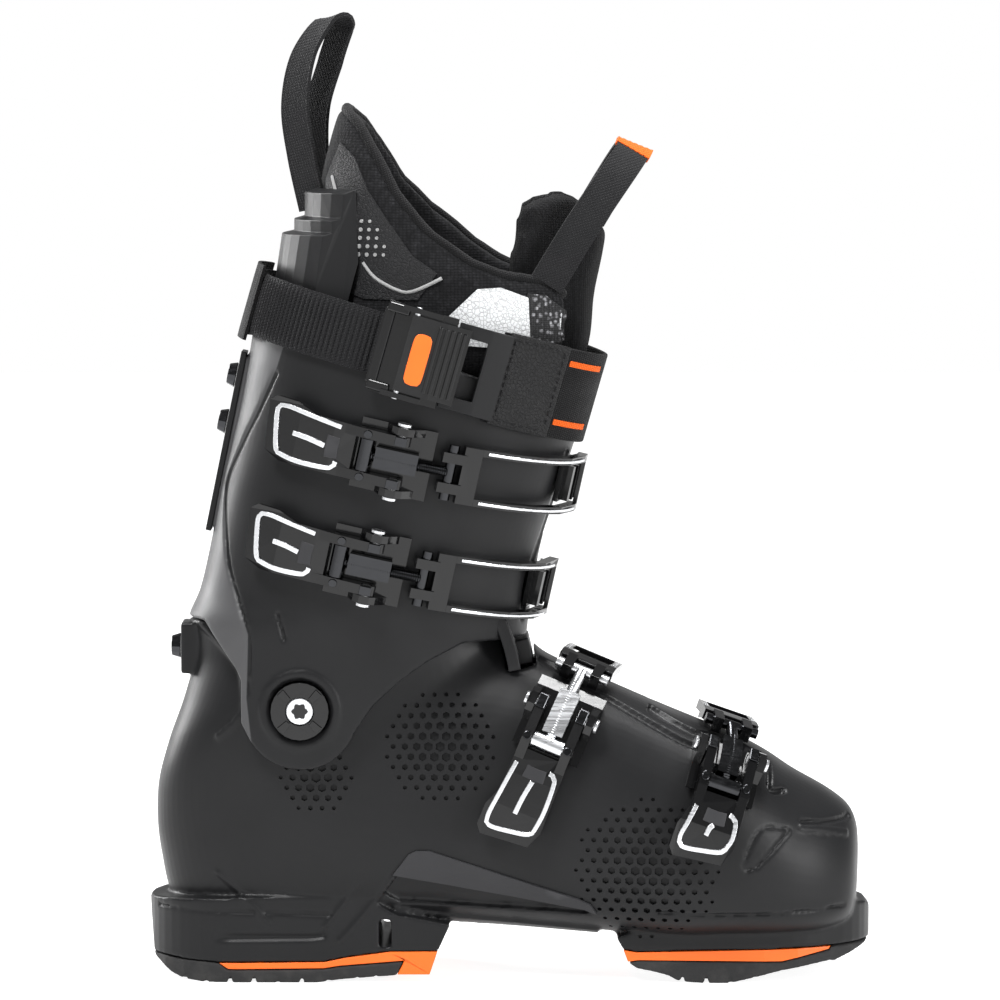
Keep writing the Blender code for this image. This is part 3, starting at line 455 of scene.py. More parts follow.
def finish(thing, look, body, replaces=()):
    """Give a piece its material and its body, and hide the CAD nodes that it stands for."""
    thing.data.materials.clear()
    thing.data.materials.append(MATERIALS[look])
    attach(thing, body)
    if replaces:
        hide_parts(*replaces)
    return thing


def extruded(name, start, end):
    """A closed solid between two matching outlines."""
    count = len(start)
    faces = [tuple(range(count)), tuple(range(2 * count - 1, count - 1, -1))]
    faces += [(k, (k + 1) % count, count + (k + 1) % count, count + k) for k in range(count)]
    return mesh_from(name, start + end, faces)


def prism(name, corners, low, high):
    """An outline in x and z carried across the boot from y = low to y = high, off the middle plane."""
    start, end = ([(x, SIDE + y, z) for x, z in corners] for y in (low, high))
    return extruded(name, start, end)


def plan_prism(name, corners, low, high):
    """An outline in x and y, off the middle plane, carried up from z = low to z = high."""
    start, end = ([(x, SIDE + y, z) for x, y in corners] for z in (low, high))
    return extruded(name, start, end)


def grid_solid(name, outer, inner, around=False):
    """A closed wall between two grids of points, each a (rows, columns, 3) array."""
    rows, columns = outer.shape[:2]
    points = np.concatenate([outer.reshape(-1, 3), inner.reshape(-1, 3)])
    far = rows * columns
    last = columns if around else columns - 1
    faces = []
    for i in range(rows - 1):
        for j in range(last):
            k = (j + 1) % columns
            a, b, c, d = i * columns + j, i * columns + k, (i + 1) * columns + k, (i + 1) * columns + j
            faces += [(a, b, c, d), (far + d, far + c, far + b, far + a)]
    for i in (0, rows - 1):
        for j in range(last):
            k = (j + 1) % columns
            faces.append((i * columns + j, i * columns + k, far + i * columns + k, far + i * columns + j))
    if not around:
        for j in (0, columns - 1):
            for i in range(rows - 1):
                a, b = i * columns + j, (i + 1) * columns + j
                faces.append((a, b, far + b, far + a))
    return mesh_from(name, points, faces)


def smooth_line(corners, step=2.0, closed=False):
    """Points along a smooth curve through corners, as an array."""
    corners = np.array(corners, float)
    count = len(corners)
    spans = count if closed else count - 1
    points = []
    for k in range(spans):
        index = [k - 1, k, k + 1, k + 2]
        index = [i % count if closed else min(max(i, 0), count - 1) for i in index]
        p0, p1, p2, p3 = corners[index]
        parts = max(2, int(np.linalg.norm(p2 - p1) / step))
        for t in np.arange(parts) / parts:
            points.append(0.5 * (2 * p1 + (p2 - p0) * t + (2 * p0 - 5 * p1 + 4 * p2 - p3) * t**2
                                 + (3 * p1 - p0 - 3 * p2 + p3) * t**3))
    if not closed:
        points.append(corners[-1])
    return np.array(points)


def path_and_side(corners, step, closed):
    """A smooth path in a plane, and the unit direction to its left at each point."""
    path = smooth_line(corners, step, closed)
    if closed:
        path = np.vstack([path, path[:1]])
    ahead = np.gradient(path, axis=0)
    ahead /= np.linalg.norm(ahead, axis=1)[:, None]
    return path, np.stack([-ahead[:, 1], ahead[:, 0]], 1)


def tube(name, points, radius, sides=8):
    """A round tube along points in millimetres, as a mesh."""
    curve = bpy.data.curves.new(name, "CURVE")
    curve.dimensions = "3D"
    curve.bevel_depth = radius * MM
    curve.bevel_resolution = max(1, sides // 2 - 2)
    curve.use_fill_caps = True
    spline = curve.splines.new("POLY")
    spline.points.add(len(points) - 1)
    for point, place in zip(spline.points, points):
        point.co = (*[c * MM for c in place], 1)
    drawing = new_object(name + "_line", curve)
    bpy.context.view_layer.update()
    mesh = bpy.data.meshes.new_from_object(drawing.evaluated_get(bpy.context.evaluated_depsgraph_get()))
    bpy.data.objects.remove(drawing)
    builder = bmesh.new()
    builder.from_mesh(mesh)
    bmesh.ops.remove_doubles(builder, verts=builder.verts, dist=0.002 * MM)
    builder.to_mesh(mesh)
    builder.free()
    mesh.shade_smooth()
    return new_object(name, mesh)


class Surface:
    """The outside of a finished mesh, as seen square from one side of the boot."""

    def __init__(self, *things):
        graph = bpy.context.evaluated_depsgraph_get()
        points, faces = [], []
        for thing in things:
            mesh = thing.evaluated_get(graph).to_mesh()
            start = len(points)
            points += [thing.matrix_world @ v.co for v in mesh.vertices]
            faces += [[start + i for i in p.vertices] for p in mesh.polygons]
        self.tree = BVHTree.FromPolygons(points, faces)

    def hit(self, x, z, side=-1):
        """The outermost point in millimetres and its normal, or None where the ray misses."""
        start = Vector((x * MM, side * 0.2, z * MM))
        place, normal = self.tree.ray_cast(start, Vector((0, -side, 0)))[:2]
        if place is None:
            return None
        return place / MM, normal

    def drape(self, name, corners, low, high, side=-1, step=2.5):
        """A plate over an outline in x and z that follows the surface, from low to high above it."""
        builder = bmesh.new()
        face = builder.faces.new([builder.verts.new((x, 0, z)) for x, z in corners])
        bmesh.ops.triangulate(builder, faces=[face])
        xs, zs = [c[0] for c in corners], [c[1] for c in corners]
        for axis, values in ((0, xs), (2, zs)):
            for at in np.arange(min(values) + step, max(values), step):
                centre, normal = [0, 0, 0], [0, 0, 0]
                centre[axis], normal[axis] = at, 1
                everything = builder.verts[:] + builder.edges[:] + builder.faces[:]
                bmesh.ops.bisect_plane(builder, geom=everything, plane_co=centre, plane_no=normal, dist=0.02)
        bmesh.ops.remove_doubles(builder, verts=builder.verts, dist=0.02)
        flat = [v.co.copy() for v in builder.verts]
        builder.verts.index_update()
        faces = [[v.index for v in f.verts] for f in builder.faces]
        rims = [(e.verts[0].index, e.verts[1].index) for e in builder.edges if e.is_boundary]
        builder.free()
        tops, bottoms = [], []
        found = [self.hit(spot.x, spot.z, side) for spot in flat]
        good = [k for k, hit in enumerate(found) if hit]
        for k, spot in enumerate(flat):
            near = k if found[k] else min(good, key=lambda g: (flat[g] - spot).length)
            place, normal = found[near]
            place = place + (spot - flat[near])
            tops.append(place + normal * high)
            bottoms.append(place + normal * low)
        count = len(flat)
        faces = faces + [[count + i for i in reversed(f)] for f in faces]
        faces += [[a, b, count + b, count + a] for a, b in rims]
        return mesh_from(name, np.array([tuple(p) for p in tops + bottoms]), faces)

    def line(self, corners, lift):
        """A smooth line in x and z laid on the boot's outer side, lifted off it."""
        laid = []
        for x, z in smooth_line(corners):
            found = self.hit(x, z)
            if found:
                place, normal = found
                laid.append(place + normal * lift)
        return laid

    def strip(self, name, corners, width, low, high, side=-1, step=2.0, closed=False):
        """A band of the given width along a line in x and z, following the surface."""
        columns = []
        for spot, across in zip(*path_and_side(corners, step, closed)):
            found = [self.hit(*(spot + across * width * share), side) for share in (-0.5, 0.0, 0.5)]
            if all(found):
                columns.append(found)
        outer = [[place + normal * high for place, normal in column] for column in columns]
        inner = [[place + normal * low for place, normal in column] for column in columns]
        return grid_solid(name, np.array(outer, float), np.array(inner, float))

    def pegs(self, name, spots, radius, low, high, side=-1, sides=6, turn=0.0):
        """Small prisms that stand square on the surface at spots (x, z, share of the radius)."""
        points, faces = [], []
        for x, z, share in spots:
            found = self.hit(x, z, side)
            if not found:
                continue
            place, normal = found
            first = Vector((1, 0, 0)) - normal * normal.x
            first.normalize()
            second = normal.cross(first)
            start = len(points)
            for level in (low, high):
                for k in range(sides):
                    angle = turn + TAU * k / sides
                    offset = (first * math.cos(angle) + second * math.sin(angle)) * radius * share
                    points.append(place + normal * level + offset)
            faces.append([start + k for k in reversed(range(sides))])
            faces.append([start + sides + k for k in range(sides)])
            for k in range(sides):
                n = (k + 1) % sides
                faces.append([start + k, start + n, start + sides + n, start + sides + k])
        return mesh_from(name, np.array([tuple(p) for p in points]), faces)


# ---------------------------------------------------------------- the boot's lofted surfaces

# Key sections, as in the CAD: near x, near z, far x, far z, half width, share where widest,
# near and far roundness, shift towards the inner side.
SHELL_KEYS = np.array([
    (147.0, 56, 145.8, 34, 9, 0.45, 2.3, 2.4, 4.0),
    (146.4, 63, 145.2, 26, 22, 0.42, 2.3, 2.6, 4.0),
    (143.0, 70, 141.5, 21, 33, 0.38, 2.4, 2.8, 3.8),
    (134.0, 77, 131.0, 18, 41, 0.36, 2.4, 3.0, 3.2),
    (120.0, 85, 115.0, 17, 47, 0.36, 2.4, 3.0, 2.2),
    (108.0, 93, 92.0, 17, 50, 0.38, 2.5, 3.0, 1.0),
    (94.5, 100, 65.0, 17, 51, 0.40, 2.6, 3.0, 0.0),
    (62.0, 113.5, 30.0, 20, 47, 0.44, 2.8, 3.0, -0.5),
    (30.0, 127.5, -14.0, 23, 43.5, 0.48, 3.0, 3.0, -0.5),
    (16.0, 134.0, -46.0, 22, 41.5, 0.5, 3.0, 2.8, 0.0),
    (9.0, 139.5, -78.0, 18, 39.5, 0.5, 2.8, 2.8, 0.0),
    (3.0, 144.5, -112.0, 18, 38.5, 0.48, 2.5, 2.6, 0.0),
    (-1.5, 148.0, -139.0, 26, 38.0, 0.5, 2.4, 2.4, 0.0),
    (-3.5, 151.0, -147.5, 52, 38.0, 0.5, 2.4, 2.3, 0.0),
    (-4.8, 153.5, -148.7, 77, 38.5, 0.5, 2.4, 2.3, 0.0),
    (-5.6, 155.5, -144.2, 97, 39.5, 0.5, 2.3, 2.3, 0.0),
    (-6.2, 157.0, -137.2, 117, 40.0, 0.5, 2.3, 2.1, 0.0),
    (-6.5, 158.2, -133.2, 134, 40.0, 0.52, 2.2, 1.9, 0.0),
    (-6.6, 159.0, -134.6, 150, 40.0, 0.55, 2.1, 1.8, 0.0),
])
CUFF_KEYS = np.array([
    (8.0, 96.0, -148.0, 82.0, 44.5, 0.5, 2.3, 2.6, 0.0),
    (7.5, 118.0, -143.0, 110.0, 46.0, 0.5, 2.3, 2.6, 0.0),
    (7.0, 138.0, -138.0, 136.0, 47.2, 0.5, 2.3, 2.6, 0.0),
    (7.4, 147.0, -135.2, 151.0, 48.0, 0.5, 2.3, 2.6, 0.0),
    (9.2, 160.0, -130.2, 163.0, 48.8, 0.5, 2.3, 2.3, 0.0),
    (12.6, 180.0, -125.5, 183.0, 50.0, 0.5, 2.3, 2.3, 0.0),
    (17.0, 195.0, -121.0, 207.0, 51.3, 0.5, 2.3, 2.3, 0.0),
    (22.0, 209.0, -116.0, 228.0, 52.6, 0.5, 2.3, 2.3, 0.0),
    (26.5, 223.0, -111.0, 251.0, 53.8, 0.5, 2.3, 2.3, 0.0),
    (31.5, 238.0, -105.0, 288.0, 55.0, 0.5, 2.2, 2.3, 0.0),
    (39.0, 266.0, -100.0, 318.0, 56.0, 0.5, 2.2, 2.3, 0.0),
])
LINER_KEYS = np.array([
    (-2.0, 165.0, -123.5, 155.5, 38.5, 0.5, 2.2, 2.1, 0.0),
    (6.5, 180.0, -119.5, 181.0, 43.6, 0.5, 2.2, 2.3, 0.0),
    (15.5, 207.0, -109.5, 224.0, 46.4, 0.5, 2.2, 2.3, 0.0),
    (25.0, 237.0, -89.0, 266.0, 48.6, 0.5, 2.2, 2.3, 0.0),
    (33.5, 266.0, -77.0, 296.0, 49.5, 0.5, 2.2, 2.2, 0.0),
    (35.5, 286.0, -80.0, 326.0, 48.0, 0.5, 2.2, 2.2, 0.0),
    (39.0, 303.0, -74.0, 355.0, 45.5, 0.5, 2.2, 2.2, 0.0),
    (41.5, 318.0, -66.0, 376.0, 42.0, 0.5, 2.2, 2.2, 0.0),
    (42.0, 334.0, -58.0, 396.0, 40.0, 0.5, 2.2, 2.2, 0.0),
])


def section_at(keys, place):
    """The section between two key sections, on a smooth curve through all of them."""
    first = min(max(int(place), 0), len(keys) - 2)
    share = place - first
    before, start, end, after = (keys[min(max(first + k, 0), len(keys) - 1)] for k in (-1, 0, 1, 2))
    return 0.5 * (2 * start + (end - before) * share
                  + (2 * before - 5 * start + 4 * end - after) * share**2
                  + (3 * start - before - 3 * end + after) * share**3)


def point_on(section, angle, inset=0.0, far_inset=None):
    """A point of a section's outline: 90 degrees is its near end, 180 the outer side, 270 its far end."""
    near, far = np.array(section[0:2]), np.array(section[2:4])
    half, widest, near_power, far_power, shift = section[4:9]
    length = np.linalg.norm(near - far)
    along = (near - far) / length
    far_inset = inset if far_inset is None else far_inset
    far = far + along * far_inset
    length = length - inset - far_inset
    across, up = math.cos(angle), math.sin(angle)
    power = near_power if up >= 0 else far_power
    side = (half - inset) * math.copysign(abs(across) ** (2 / power), across)
    reach = abs(up) ** (2 / power)
    share = widest + (1 - widest) * reach if up >= 0 else widest * (1 - reach)
    x, z = far + along * length * share
    return np.array((x, side + shift + SIDE, z))


def ring_angles(count):
    return [TAU * (k + 0.5) / count for k in range(count)]


def loft(name, rings):
    """A closed solid through a row of closed outlines."""
    rings = np.array(rings)
    rows, count = rings.shape[:2]
    faces = [tuple(range(count)), tuple((rows - 1) * count + k for k in reversed(range(count)))]
    for i in range(rows - 1):
        for k in range(count):
            n = (k + 1) % count
            faces.append((i * count + k, (i + 1) * count + k, (i + 1) * count + n, i * count + n))
    return mesh_from(name, rings.reshape(-1, 3), faces)


def shell_rings(inset, far_inset, start, end, steps, count):
    rings = []
    for place in np.linspace(start, end, steps):
        section = section_at(SHELL_KEYS, place)
        sole_share = min(max((13.0 - place) / 2.0, 0.0), 1.0)
        far = inset + (far_inset - inset) * sole_share
        rings.append([point_on(section, angle, inset, far) for angle in ring_angles(count)])
    return rings


def wall(name, keys, angles, low, high, outer, inner, rows, around=False):
    """A wall on a lofted surface; low and high give an angle's key places, outer and inner its insets."""

    def spot(row, a, inset):
        place = low(a) + (high(a) - low(a)) * row / (rows - 1)
        return point_on(section_at(keys, place), a, inset(a))

    grids = [np.array([[spot(row, a, inset) for a in angles] for row in range(rows)])
             for inset in (outer, inner)]
    return grid_solid(name, grids[0], grids[1], around)


def round_end_plan(front, back, half_width, nose, tail, parts=24):
    """The plan of a sole: straight sides and an elliptic front or back end."""
    corners = []
    if nose:
        for angle in np.linspace(-math.pi / 2, math.pi / 2, parts):
            corners.append((front - nose + nose * math.cos(angle), half_width * math.sin(angle)))
    else:
        corners += [(front, -half_width), (front, half_width)]
    if tail:
        for angle in np.linspace(math.pi / 2, 3 * math.pi / 2, parts):
            corners.append((back + tail + tail * math.cos(angle), half_width * math.sin(angle)))
    else:
        corners += [(back, half_width), (back, -half_width)]
    return corners


HEEL_PLAN = round_end_plan(-10, -152, 33.5, 0, 38)
TOE_PLAN = round_end_plan(152, 30, 34.5, 46, 0)


def sole_piece(name, side_view, plan):
    return cut(prism(name, side_view, -60, 60), plan_prism("plan", plan, -20, 60), "INTERSECT")


def ring(radius, angles, centre=ANKLE):
    """Points (x, z) round a centre, at angles in radians."""
    return [(centre[0] + radius * math.cos(a), centre[1] + radius * math.sin(a)) for a in angles]


def arc_about_ankle(radius, start, end, parts=9):
    return ring(radius, [math.radians(a) for a in np.linspace(start, end, parts)])


def hex_field(centre, reach, pitch=4.9):
    """Spots (x, z, share) on a hexagonal grid, largest in the middle of the field."""
    spots = []
    rows = int(reach / pitch) + 2
    for i in range(-rows, rows + 1):
        for j in range(-rows, rows + 1):
            x = (i + 0.5 * (j % 2)) * pitch
            z = j * pitch * 0.866
            away = math.hypot(x, z) / reach
            if away < 1.0:
                spots.append((centre[0] + x, centre[1] + z, 1.0 - 0.62 * away**1.3))
    return spots


# ---------------------------------------------------------------- lower shell

DOT_FIELDS = (((-29.0, 100.0), 24.0), ((-80.6, 87.0), 15.5), ((56.7, 49.5), 30.0))
DOT_RADIUS = 2.15
DOT_DEPTH = 1.5
SHELL_VOXEL = 0.85
FLAP_LINE = [(6, 141), (14.7, 137.4), (45, 121), (75, 104.8), (93, 98.5), (107.5, 95.5), (108.2, 88),
             (108.2, 81.5), (115, 80.8)]
FLAP_SECOND = [(12, 134.5), (42, 118), (72, 101.5), (90, 95)]
# Each groove or ridge: its line in x and z, its width, its depth or height.
SHELL_GROOVES = (
    (FLAP_LINE, 2.2, 2.2),
    (FLAP_SECOND, 1.8, 1.5),
    ([(120, 68.5), (132, 67.5), (144, 68)], 2.0, 1.5),
    ([(-148, 30.5), (-100, 29.5), (-72, 28.5)], 1.7, 1.1),
    ([(60, 31.5), (100, 30.5), (140, 32.5)], 1.8, 1.3),
    ([(96.0, 51.0), (101.5, 50.6), (116.5, 65.8)], 1.8, 1.3),
    ([(96.0, 51.0), (103.5, 66.0), (116.5, 65.8)], 1.6, 0.9),
)
SHELL_RIDGES = (
    ([(-122.6, 46.5), (-111, 36), (-100, 25)], 1.3, 0.7),
    ([(-62.2, 43), (-79.0, 21.0)], 1.3, 0.7),
    ([(-48.3, 45.5), (-60, 30), (-71.4, 17)], 1.6, 0.9),
    ([(-48.3, 30.5), (-25, 27), (37, 21.6)], 3.0, 1.6),
    ([(120.0, 66.0), (130, 64.6), (141, 62)], 2.2, 0.9),
    ([(-135, 152), (-125, 145), (-113.4, 133.5), (-111.3, 128), (-111.3, 114), (-122, 103)], 2.0, 0.9),
)
ARCH_RECESS = [(-50.5, 46.0), (-33, 46.5), (24, 34.5), (36, 29.5), (-46, 33.5), (-53, 38)]
ARCH_PLATE = [(-49.0, 46.2), (-42.0, 55.3), (-39.0, 56.6), (-33.6, 56.7), (28.5, 37.0), (33.5, 34.6),
              (36.2, 30.6), (31, 32.6), (0, 38.2)]
HEEL_SIDE = [(-152, 33), (-150, 10), (-122, 8.5), (-78, 9), (-68, 11), (-50, 13.4), (-30, 13.6), (-25, 24.5),
             (-48, 29), (-60, 36), (-110, 36), (-140, 34.5)]
TOE_SIDE = [(44.5, 19), (47.3, 14.2), (52.5, 13.3), (134, 14.9), (152.5, 15), (152.5, 28), (149.5, 31),
            (143, 32), (130, 27), (60, 26)]
HEEL_GROOVE = [(-138, 17), (-139, 21), (-80, 20.6), (-75, 25), (-77, 18.4), (-84, 17.6)]


def shell_body():
    """The hollow shell with its sole blocks, flex slot, open top and heel cuts."""
    shell = loft("shell", shell_rings(0, 0, 0, 18, 120, 84))
    heel = sole_piece("heel_block", HEEL_SIDE, HEEL_PLAN)
    toe = sole_piece("toe_block", TOE_SIDE, TOE_PLAN)
    spine = prism("spine_block", [(-138.3, 127), (-128, 127), (-128, 148.5), (-138.3, 148.5)], -9, 9)
    for part in (heel, toe, spine):
        cut(shell, part, "UNION")
    hollow = shell_rings(5.0, 13.0, 2.2, 18, 60, 60)
    hollow.append([p + np.array((0, 0, 12)) for p in hollow[-1]])
    cut(shell, loft("hollow", hollow))
    slot = arc_about_ankle(99.3, 9.0, 45) + arc_about_ankle(86.8, 45, 9.0)
    cut(shell, prism("flex_slot", slot, -60, 60))
    cut(shell, prism("rim", [(-200, 150.4), (100, 150.4), (100, 300), (-200, 300)], -80, 80))
    cut(shell, prism("heel_gap", [(-54.6, 14.8), (-49.6, 14.8), (-49.6, 26.5), (-54.6, 26.5)], -60, 60))
    for low, high in ((-60, -32.3), (32.3, 60)):
        cut(shell, prism("heel_groove", HEEL_GROOVE, low, high))
    return shell


def make_shell():
    shell = shell_body()
    surface = Surface(shell)
    cutters, ridges = [], []
    for side, label in SIDES:
        plate = surface.drape("arch_plate_" + label, ARCH_PLATE, -1.6, 1.1, side, 3.0)
        finish(bevelled(plate, 0.4), "grey", "shell")
        cutters.append(surface.drape("recess", ARCH_RECESS, -2.4, 6, side, 4.0))
        for path, width, depth in SHELL_GROOVES:
            cutters.append(surface.strip("groove", path, width, -depth, 2.0, side))
        for path, width, height in SHELL_RIDGES:
            ridges.append(surface.strip("ridge", path, width, -1.5, height, side))
    for cutter in cutters:
        cut(shell, cutter)
    shell = remeshed(joined("shell_smooth", [shell] + ridges), SHELL_VOXEL, 2, 0.5)
    surface = Surface(shell)
    for side in (-1, 1):
        pits = [surface.pegs("pits", hex_field(*field), DOT_RADIUS, -DOT_DEPTH, 1.5, side, 6, math.pi / 6)
                for field in DOT_FIELDS]
        cut(shell, joined("pits", pits))
    shell.data.set_sharp_from_angle(angle=math.radians(50))
    finish(shell, "shell", "shell", ["lower_shell"])


def throat_block(low, high, inner, outer, half):
    """Part of a ring about the ankle, from low to high degrees, inner to outer radius."""
    grids = []
    for radius in (outer, inner):
        arc = arc_about_ankle(radius, low, high, 16)
        grids.append(np.array([[(x, SIDE + y, z) for x, z in arc] for y in np.linspace(-half, half, 14)]))
    return grid_solid("block", grids[0], grids[1])


def make_throat():
    """The soft web inside the shell's flex slot, between the shell and the cuff."""
    parts = [throat_block(9.4, 36.0, 87.6, 92.8, 31), throat_block(9.5, 15.9, 88.2, 98.3, 15)]
    web = bevelled(joined("throat_web", parts), 0.6)
    apply(web)
    web.data.shade_smooth()
    web.data.materials.append(MATERIALS["shell"])
    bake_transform(web)


# ---------------------------------------------------------------- cuff

# The rear panel's edge as (z, x), from low to high.
PANEL_EDGE = ((100.0, -107.0), (120.5, -109.2), (147.0, -108.4), (175.1, -117.6), (208.7, -119.7),
              (225.5, -111.3), (238.1, -105.0), (257.0, -96.6), (267.5, -93.2), (330.0, -94.0))
CUFF_GROOVES = (
    ([(-109.2, 122), (-108.4, 147), (-117.0, 175), (-118.4, 205), (-111.3, 225.5), (-105, 238),
      (-96.6, 256)], 1.8, 1.3),
    ([(-96.6, 157), (-93.2, 145)], 1.8, 1.6),
    ([(5.2, 150), (6.6, 166), (12.5, 184), (20, 205), (24, 222)], 1.8, 1.2),
)
CUFF_VOXEL = 0.85
PLATE_PAD = [(-125.6, 189.5), (-110.8, 260.5), (-104, 258.5), (-118, 188)]


def panel_mark(thing):
    """Marks how far, in millimetres, each point lies inside the lighter rear panel."""
    count = len(thing.data.vertices)
    places = np.empty(count * 3)
    thing.data.vertices.foreach_get("co", places)
    places = places.reshape(-1, 3) / MM
    edge = np.interp(places[:, 2], [p[0] for p in PANEL_EDGE], [p[1] for p in PANEL_EDGE])
    mark = thing.data.attributes.new("panel", "FLOAT", "POINT")
    mark.data.foreach_set("value", (edge - places[:, 0]).astype(np.float32))


def make_cuff():
    cuff = wall("cuff_wall", CUFF_KEYS, ring_angles(110), lambda a: 0.0, lambda a: 9.0,
                lambda a: 0.0, lambda a: 4.2, 70, True)
    below = [(-200, 151.6), (-127, 151.6), (-123.5, 146.5), (-113.5, 132.5), (-111.5, 128), (-111.5, 110)]
    below += ring(24, np.linspace(-2.6, -0.35, 24), (ANKLE[0], ANKLE[1] - 1))
    below += [(-57, 117.5), (-46, 128), (-33.6, 136.5), (-19, 143.6), (60, 143.6), (60, 40), (-200, 40)]
    cut(cuff, prism("below_cuff", below, -80, 80))
    cut(cuff, prism("pivot_hole", ring(12.4, ring_angles(40)), -80, 80))
    surface = Surface(cuff)
    ridges = [prism("plate_pad", PLATE_PAD, -7.2, 7.2)]
    rim = ring(15.2, np.linspace(0, TAU, 30)[:-1])
    for side in (-1, 1):
        for path, width, depth in CUFF_GROOVES:
            cut(cuff, surface.strip("groove", path, width, -depth, 2.0, side))
        ridges.append(surface.strip("pivot_rim", rim, 2.6, -1.5, 0.9, side, closed=True))
    cuff = remeshed(joined("cuff_smooth", [cuff] + ridges), CUFF_VOXEL, 3, 0.5)
    panel_mark(cuff)
    finish(cuff, "cuff", "cuff", ["cuff"])


def outer_face(node, side):
    """Where a CAD piece's face lies on one side of the boot, off the middle plane."""
    low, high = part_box(node)
    return (low.y if side < 0 else high.y) / MM - SIDE


def pivot_spoke(k, face, side):
    angle = TAU * (k + 0.5) / 4
    along = np.array((math.cos(angle), math.sin(angle)))
    across = np.array((-along[1], along[0]))
    ends = ((6.4, -1.3), (11.4, -1.8), (11.4, 1.8), (6.4, 1.3))
    corners = [tuple(np.array(ANKLE) + along * r + across * w) for r, w in ends]
    return prism("spoke", corners, *sorted((face, face + side * 0.7)))


def make_pivots():
    """Four spokes, a black six-lobed plate as painted shade of the screw's recess, and a bright collar for
    each cuff screw.
    """
    for side, label in SIDES:
        face = outer_face("pivot_screw_" + label, side)
        ring_face = outer_face("pivot_ring_" + label, side)
        spokes = [pivot_spoke(k, ring_face, side) for k in range(4)]
        finish(bevelled(joined("pivot_spokes_" + label, spokes), 0.25), "buckle", "cuff")
        # The recess is not cut: a black six-lobed plate on the screw's face is its painted shade.
        star = [ring(3.1 + 0.45 * math.cos(6 * TAU * k / 24), [TAU * k / 24])[0] for k in range(24)]
        recess_shade = prism("pivot_recess_shade_" + label, star, *sorted((face - side * 1.0, face + side * 0.06)))
        finish(recess_shade, "buckle", "cuff")
        collar = prism("pivot_collar_" + label, ring(5.75, ring_angles(40)),
                       *sorted((face - side * 1.4, face - side * 0.6)))
        finish(bevelled(collar, 0.2), "metal", "cuff")


# ---------------------------------------------------------------- lines round the boot for buckles and straps


class Line:
    """The closed line where a plane crosses a lofted surface.

    It is measured from its outer side towards the front.
    """

    def __init__(self, keys, along, place, slope, count=120):
        self.along = Vector((along[0], 0, along[1])).normalized()
        self.across = (self.along.cross(Vector((0, -1, 0))) + Vector((0, -slope, 0))).normalized()
        middle = np.array((place[0], place[2] + SIDE, place[1]))
        normal = np.array(self.across)
        sections = [section_at(keys, spot) for spot in np.arange(0, len(keys) - 1 + 1e-6, 0.05)]
        points = []
        for k in range(count):
            row = np.array([point_on(section, math.pi - TAU * k / count) for section in sections])
            signs = (row - middle) @ normal
            change = np.nonzero(signs[:-1] * signs[1:] <= 0)[0][0]
            share = signs[change] / (signs[change] - signs[change + 1])
            points.append(row[change] + (row[change + 1] - row[change]) * share)
        self.points = np.array(points)
        steps = np.linalg.norm(np.roll(self.points, -1, 0) - self.points, axis=1)
        self.length = steps.sum()
        self.marks = np.concatenate(([0], np.cumsum(steps)))
        lengthwise = (self.points - middle) @ np.array(self.along)
        self.front = self.marks[int(np.argmax(lengthwise))]
        lateral = [k for k in range(count) if self.points[k][1] < SIDE]
        self.start = self.marks[min(lateral, key=lambda k: abs(lengthwise[k]))]
        self.front = (self.front - self.start) % self.length

    def spots(self, distances):
        wrapped = (np.asarray(distances) + self.start) % self.length
        return np.stack([np.interp(wrapped, self.marks, np.append(self.points[:, k], self.points[0, k]))
                         for k in range(3)], -1)

    def lay(self, flat, rigid_at=None):
        """Boot positions for flat ones: distance along, height out, offset across."""
        flat = np.asarray(flat, float)
        at = flat[..., 0] if rigid_at is None else np.full(flat.shape[:-1], rigid_at)
        forward = self.spots(at + 2.0) - self.spots(at - 2.0)
        forward /= np.linalg.norm(forward, axis=-1, keepdims=True)
        across = np.array(self.across)
        outward = np.cross(across, forward)
        place = self.spots(at) + outward * flat[..., 1:2] + across * flat[..., 2:3]
        if rigid_at is not None:
            place = place + forward * (flat[..., 0:1] - rigid_at)
        return place

    def wrap(self, thing, rigid_at=None):
        """Lay a flat piece (x along, y out, z across, in millimetres) onto the line."""
        count = len(thing.data.vertices)
        flat = np.empty(count * 3)
        thing.data.vertices.foreach_get("co", flat)
        laid = self.lay(flat.reshape(-1, 3) / MM, rigid_at) * MM
        thing.data.vertices.foreach_set("co", laid.ravel())
        thing.data.update()
        return thing


def flat_band(name, path, width, low, high, step=2.0):
    """A flat stroke along a path of (along, across) points, standing from low to high out of the line."""
    path, side = path_and_side(path, step, False)
    edges = (path - side * width / 2, path + side * width / 2)
    grids = [np.array([np.column_stack([p[:, 0], np.full(len(p), out), p[:, 1]]) for p in edges])
             for out in (high, low)]
    return grid_solid(name, grids[0], grids[1])


def flat_box(name, along, out, across, cells=(1, 1)):
    """A box given by its ranges along, out from and across the line, cut into cells along and across."""
    xs = np.linspace(along[0], along[1], cells[0] + 1)
    zs = np.linspace(across[0], across[1], cells[1] + 1)
    grid_x, grid_z = np.meshgrid(xs, zs)
    grids = [np.stack([grid_x, np.full_like(grid_x, out_at), grid_z], -1) for out_at in (out[1], out[0])]
    return grid_solid(name, grids[0], grids[1])


def flat_pin(name, along, across, radius, low, high, sides=16):
    """A round peg that stands out of the line."""
    start, end = ([(along + radius * math.cos(a), out, across + radius * math.sin(a))
                   for a in ring_angles(sides)] for out in (low, high))
    return extruded(name, start, end)


def cross_pin(name, along, out, low, high, radius, sides=16):
    """A round pin that lies across the line."""
    start, end = ([(along + radius * math.cos(a), out + radius * math.sin(a), across)
                   for a in ring_angles(sides)] for across in (low, high))
    return extruded(name, start, end)


# ---------------------------------------------------------------- buckles

BARREL_BACK, BARREL_OUT, CROSS_BAR = 13.0, 6.2, 21.0
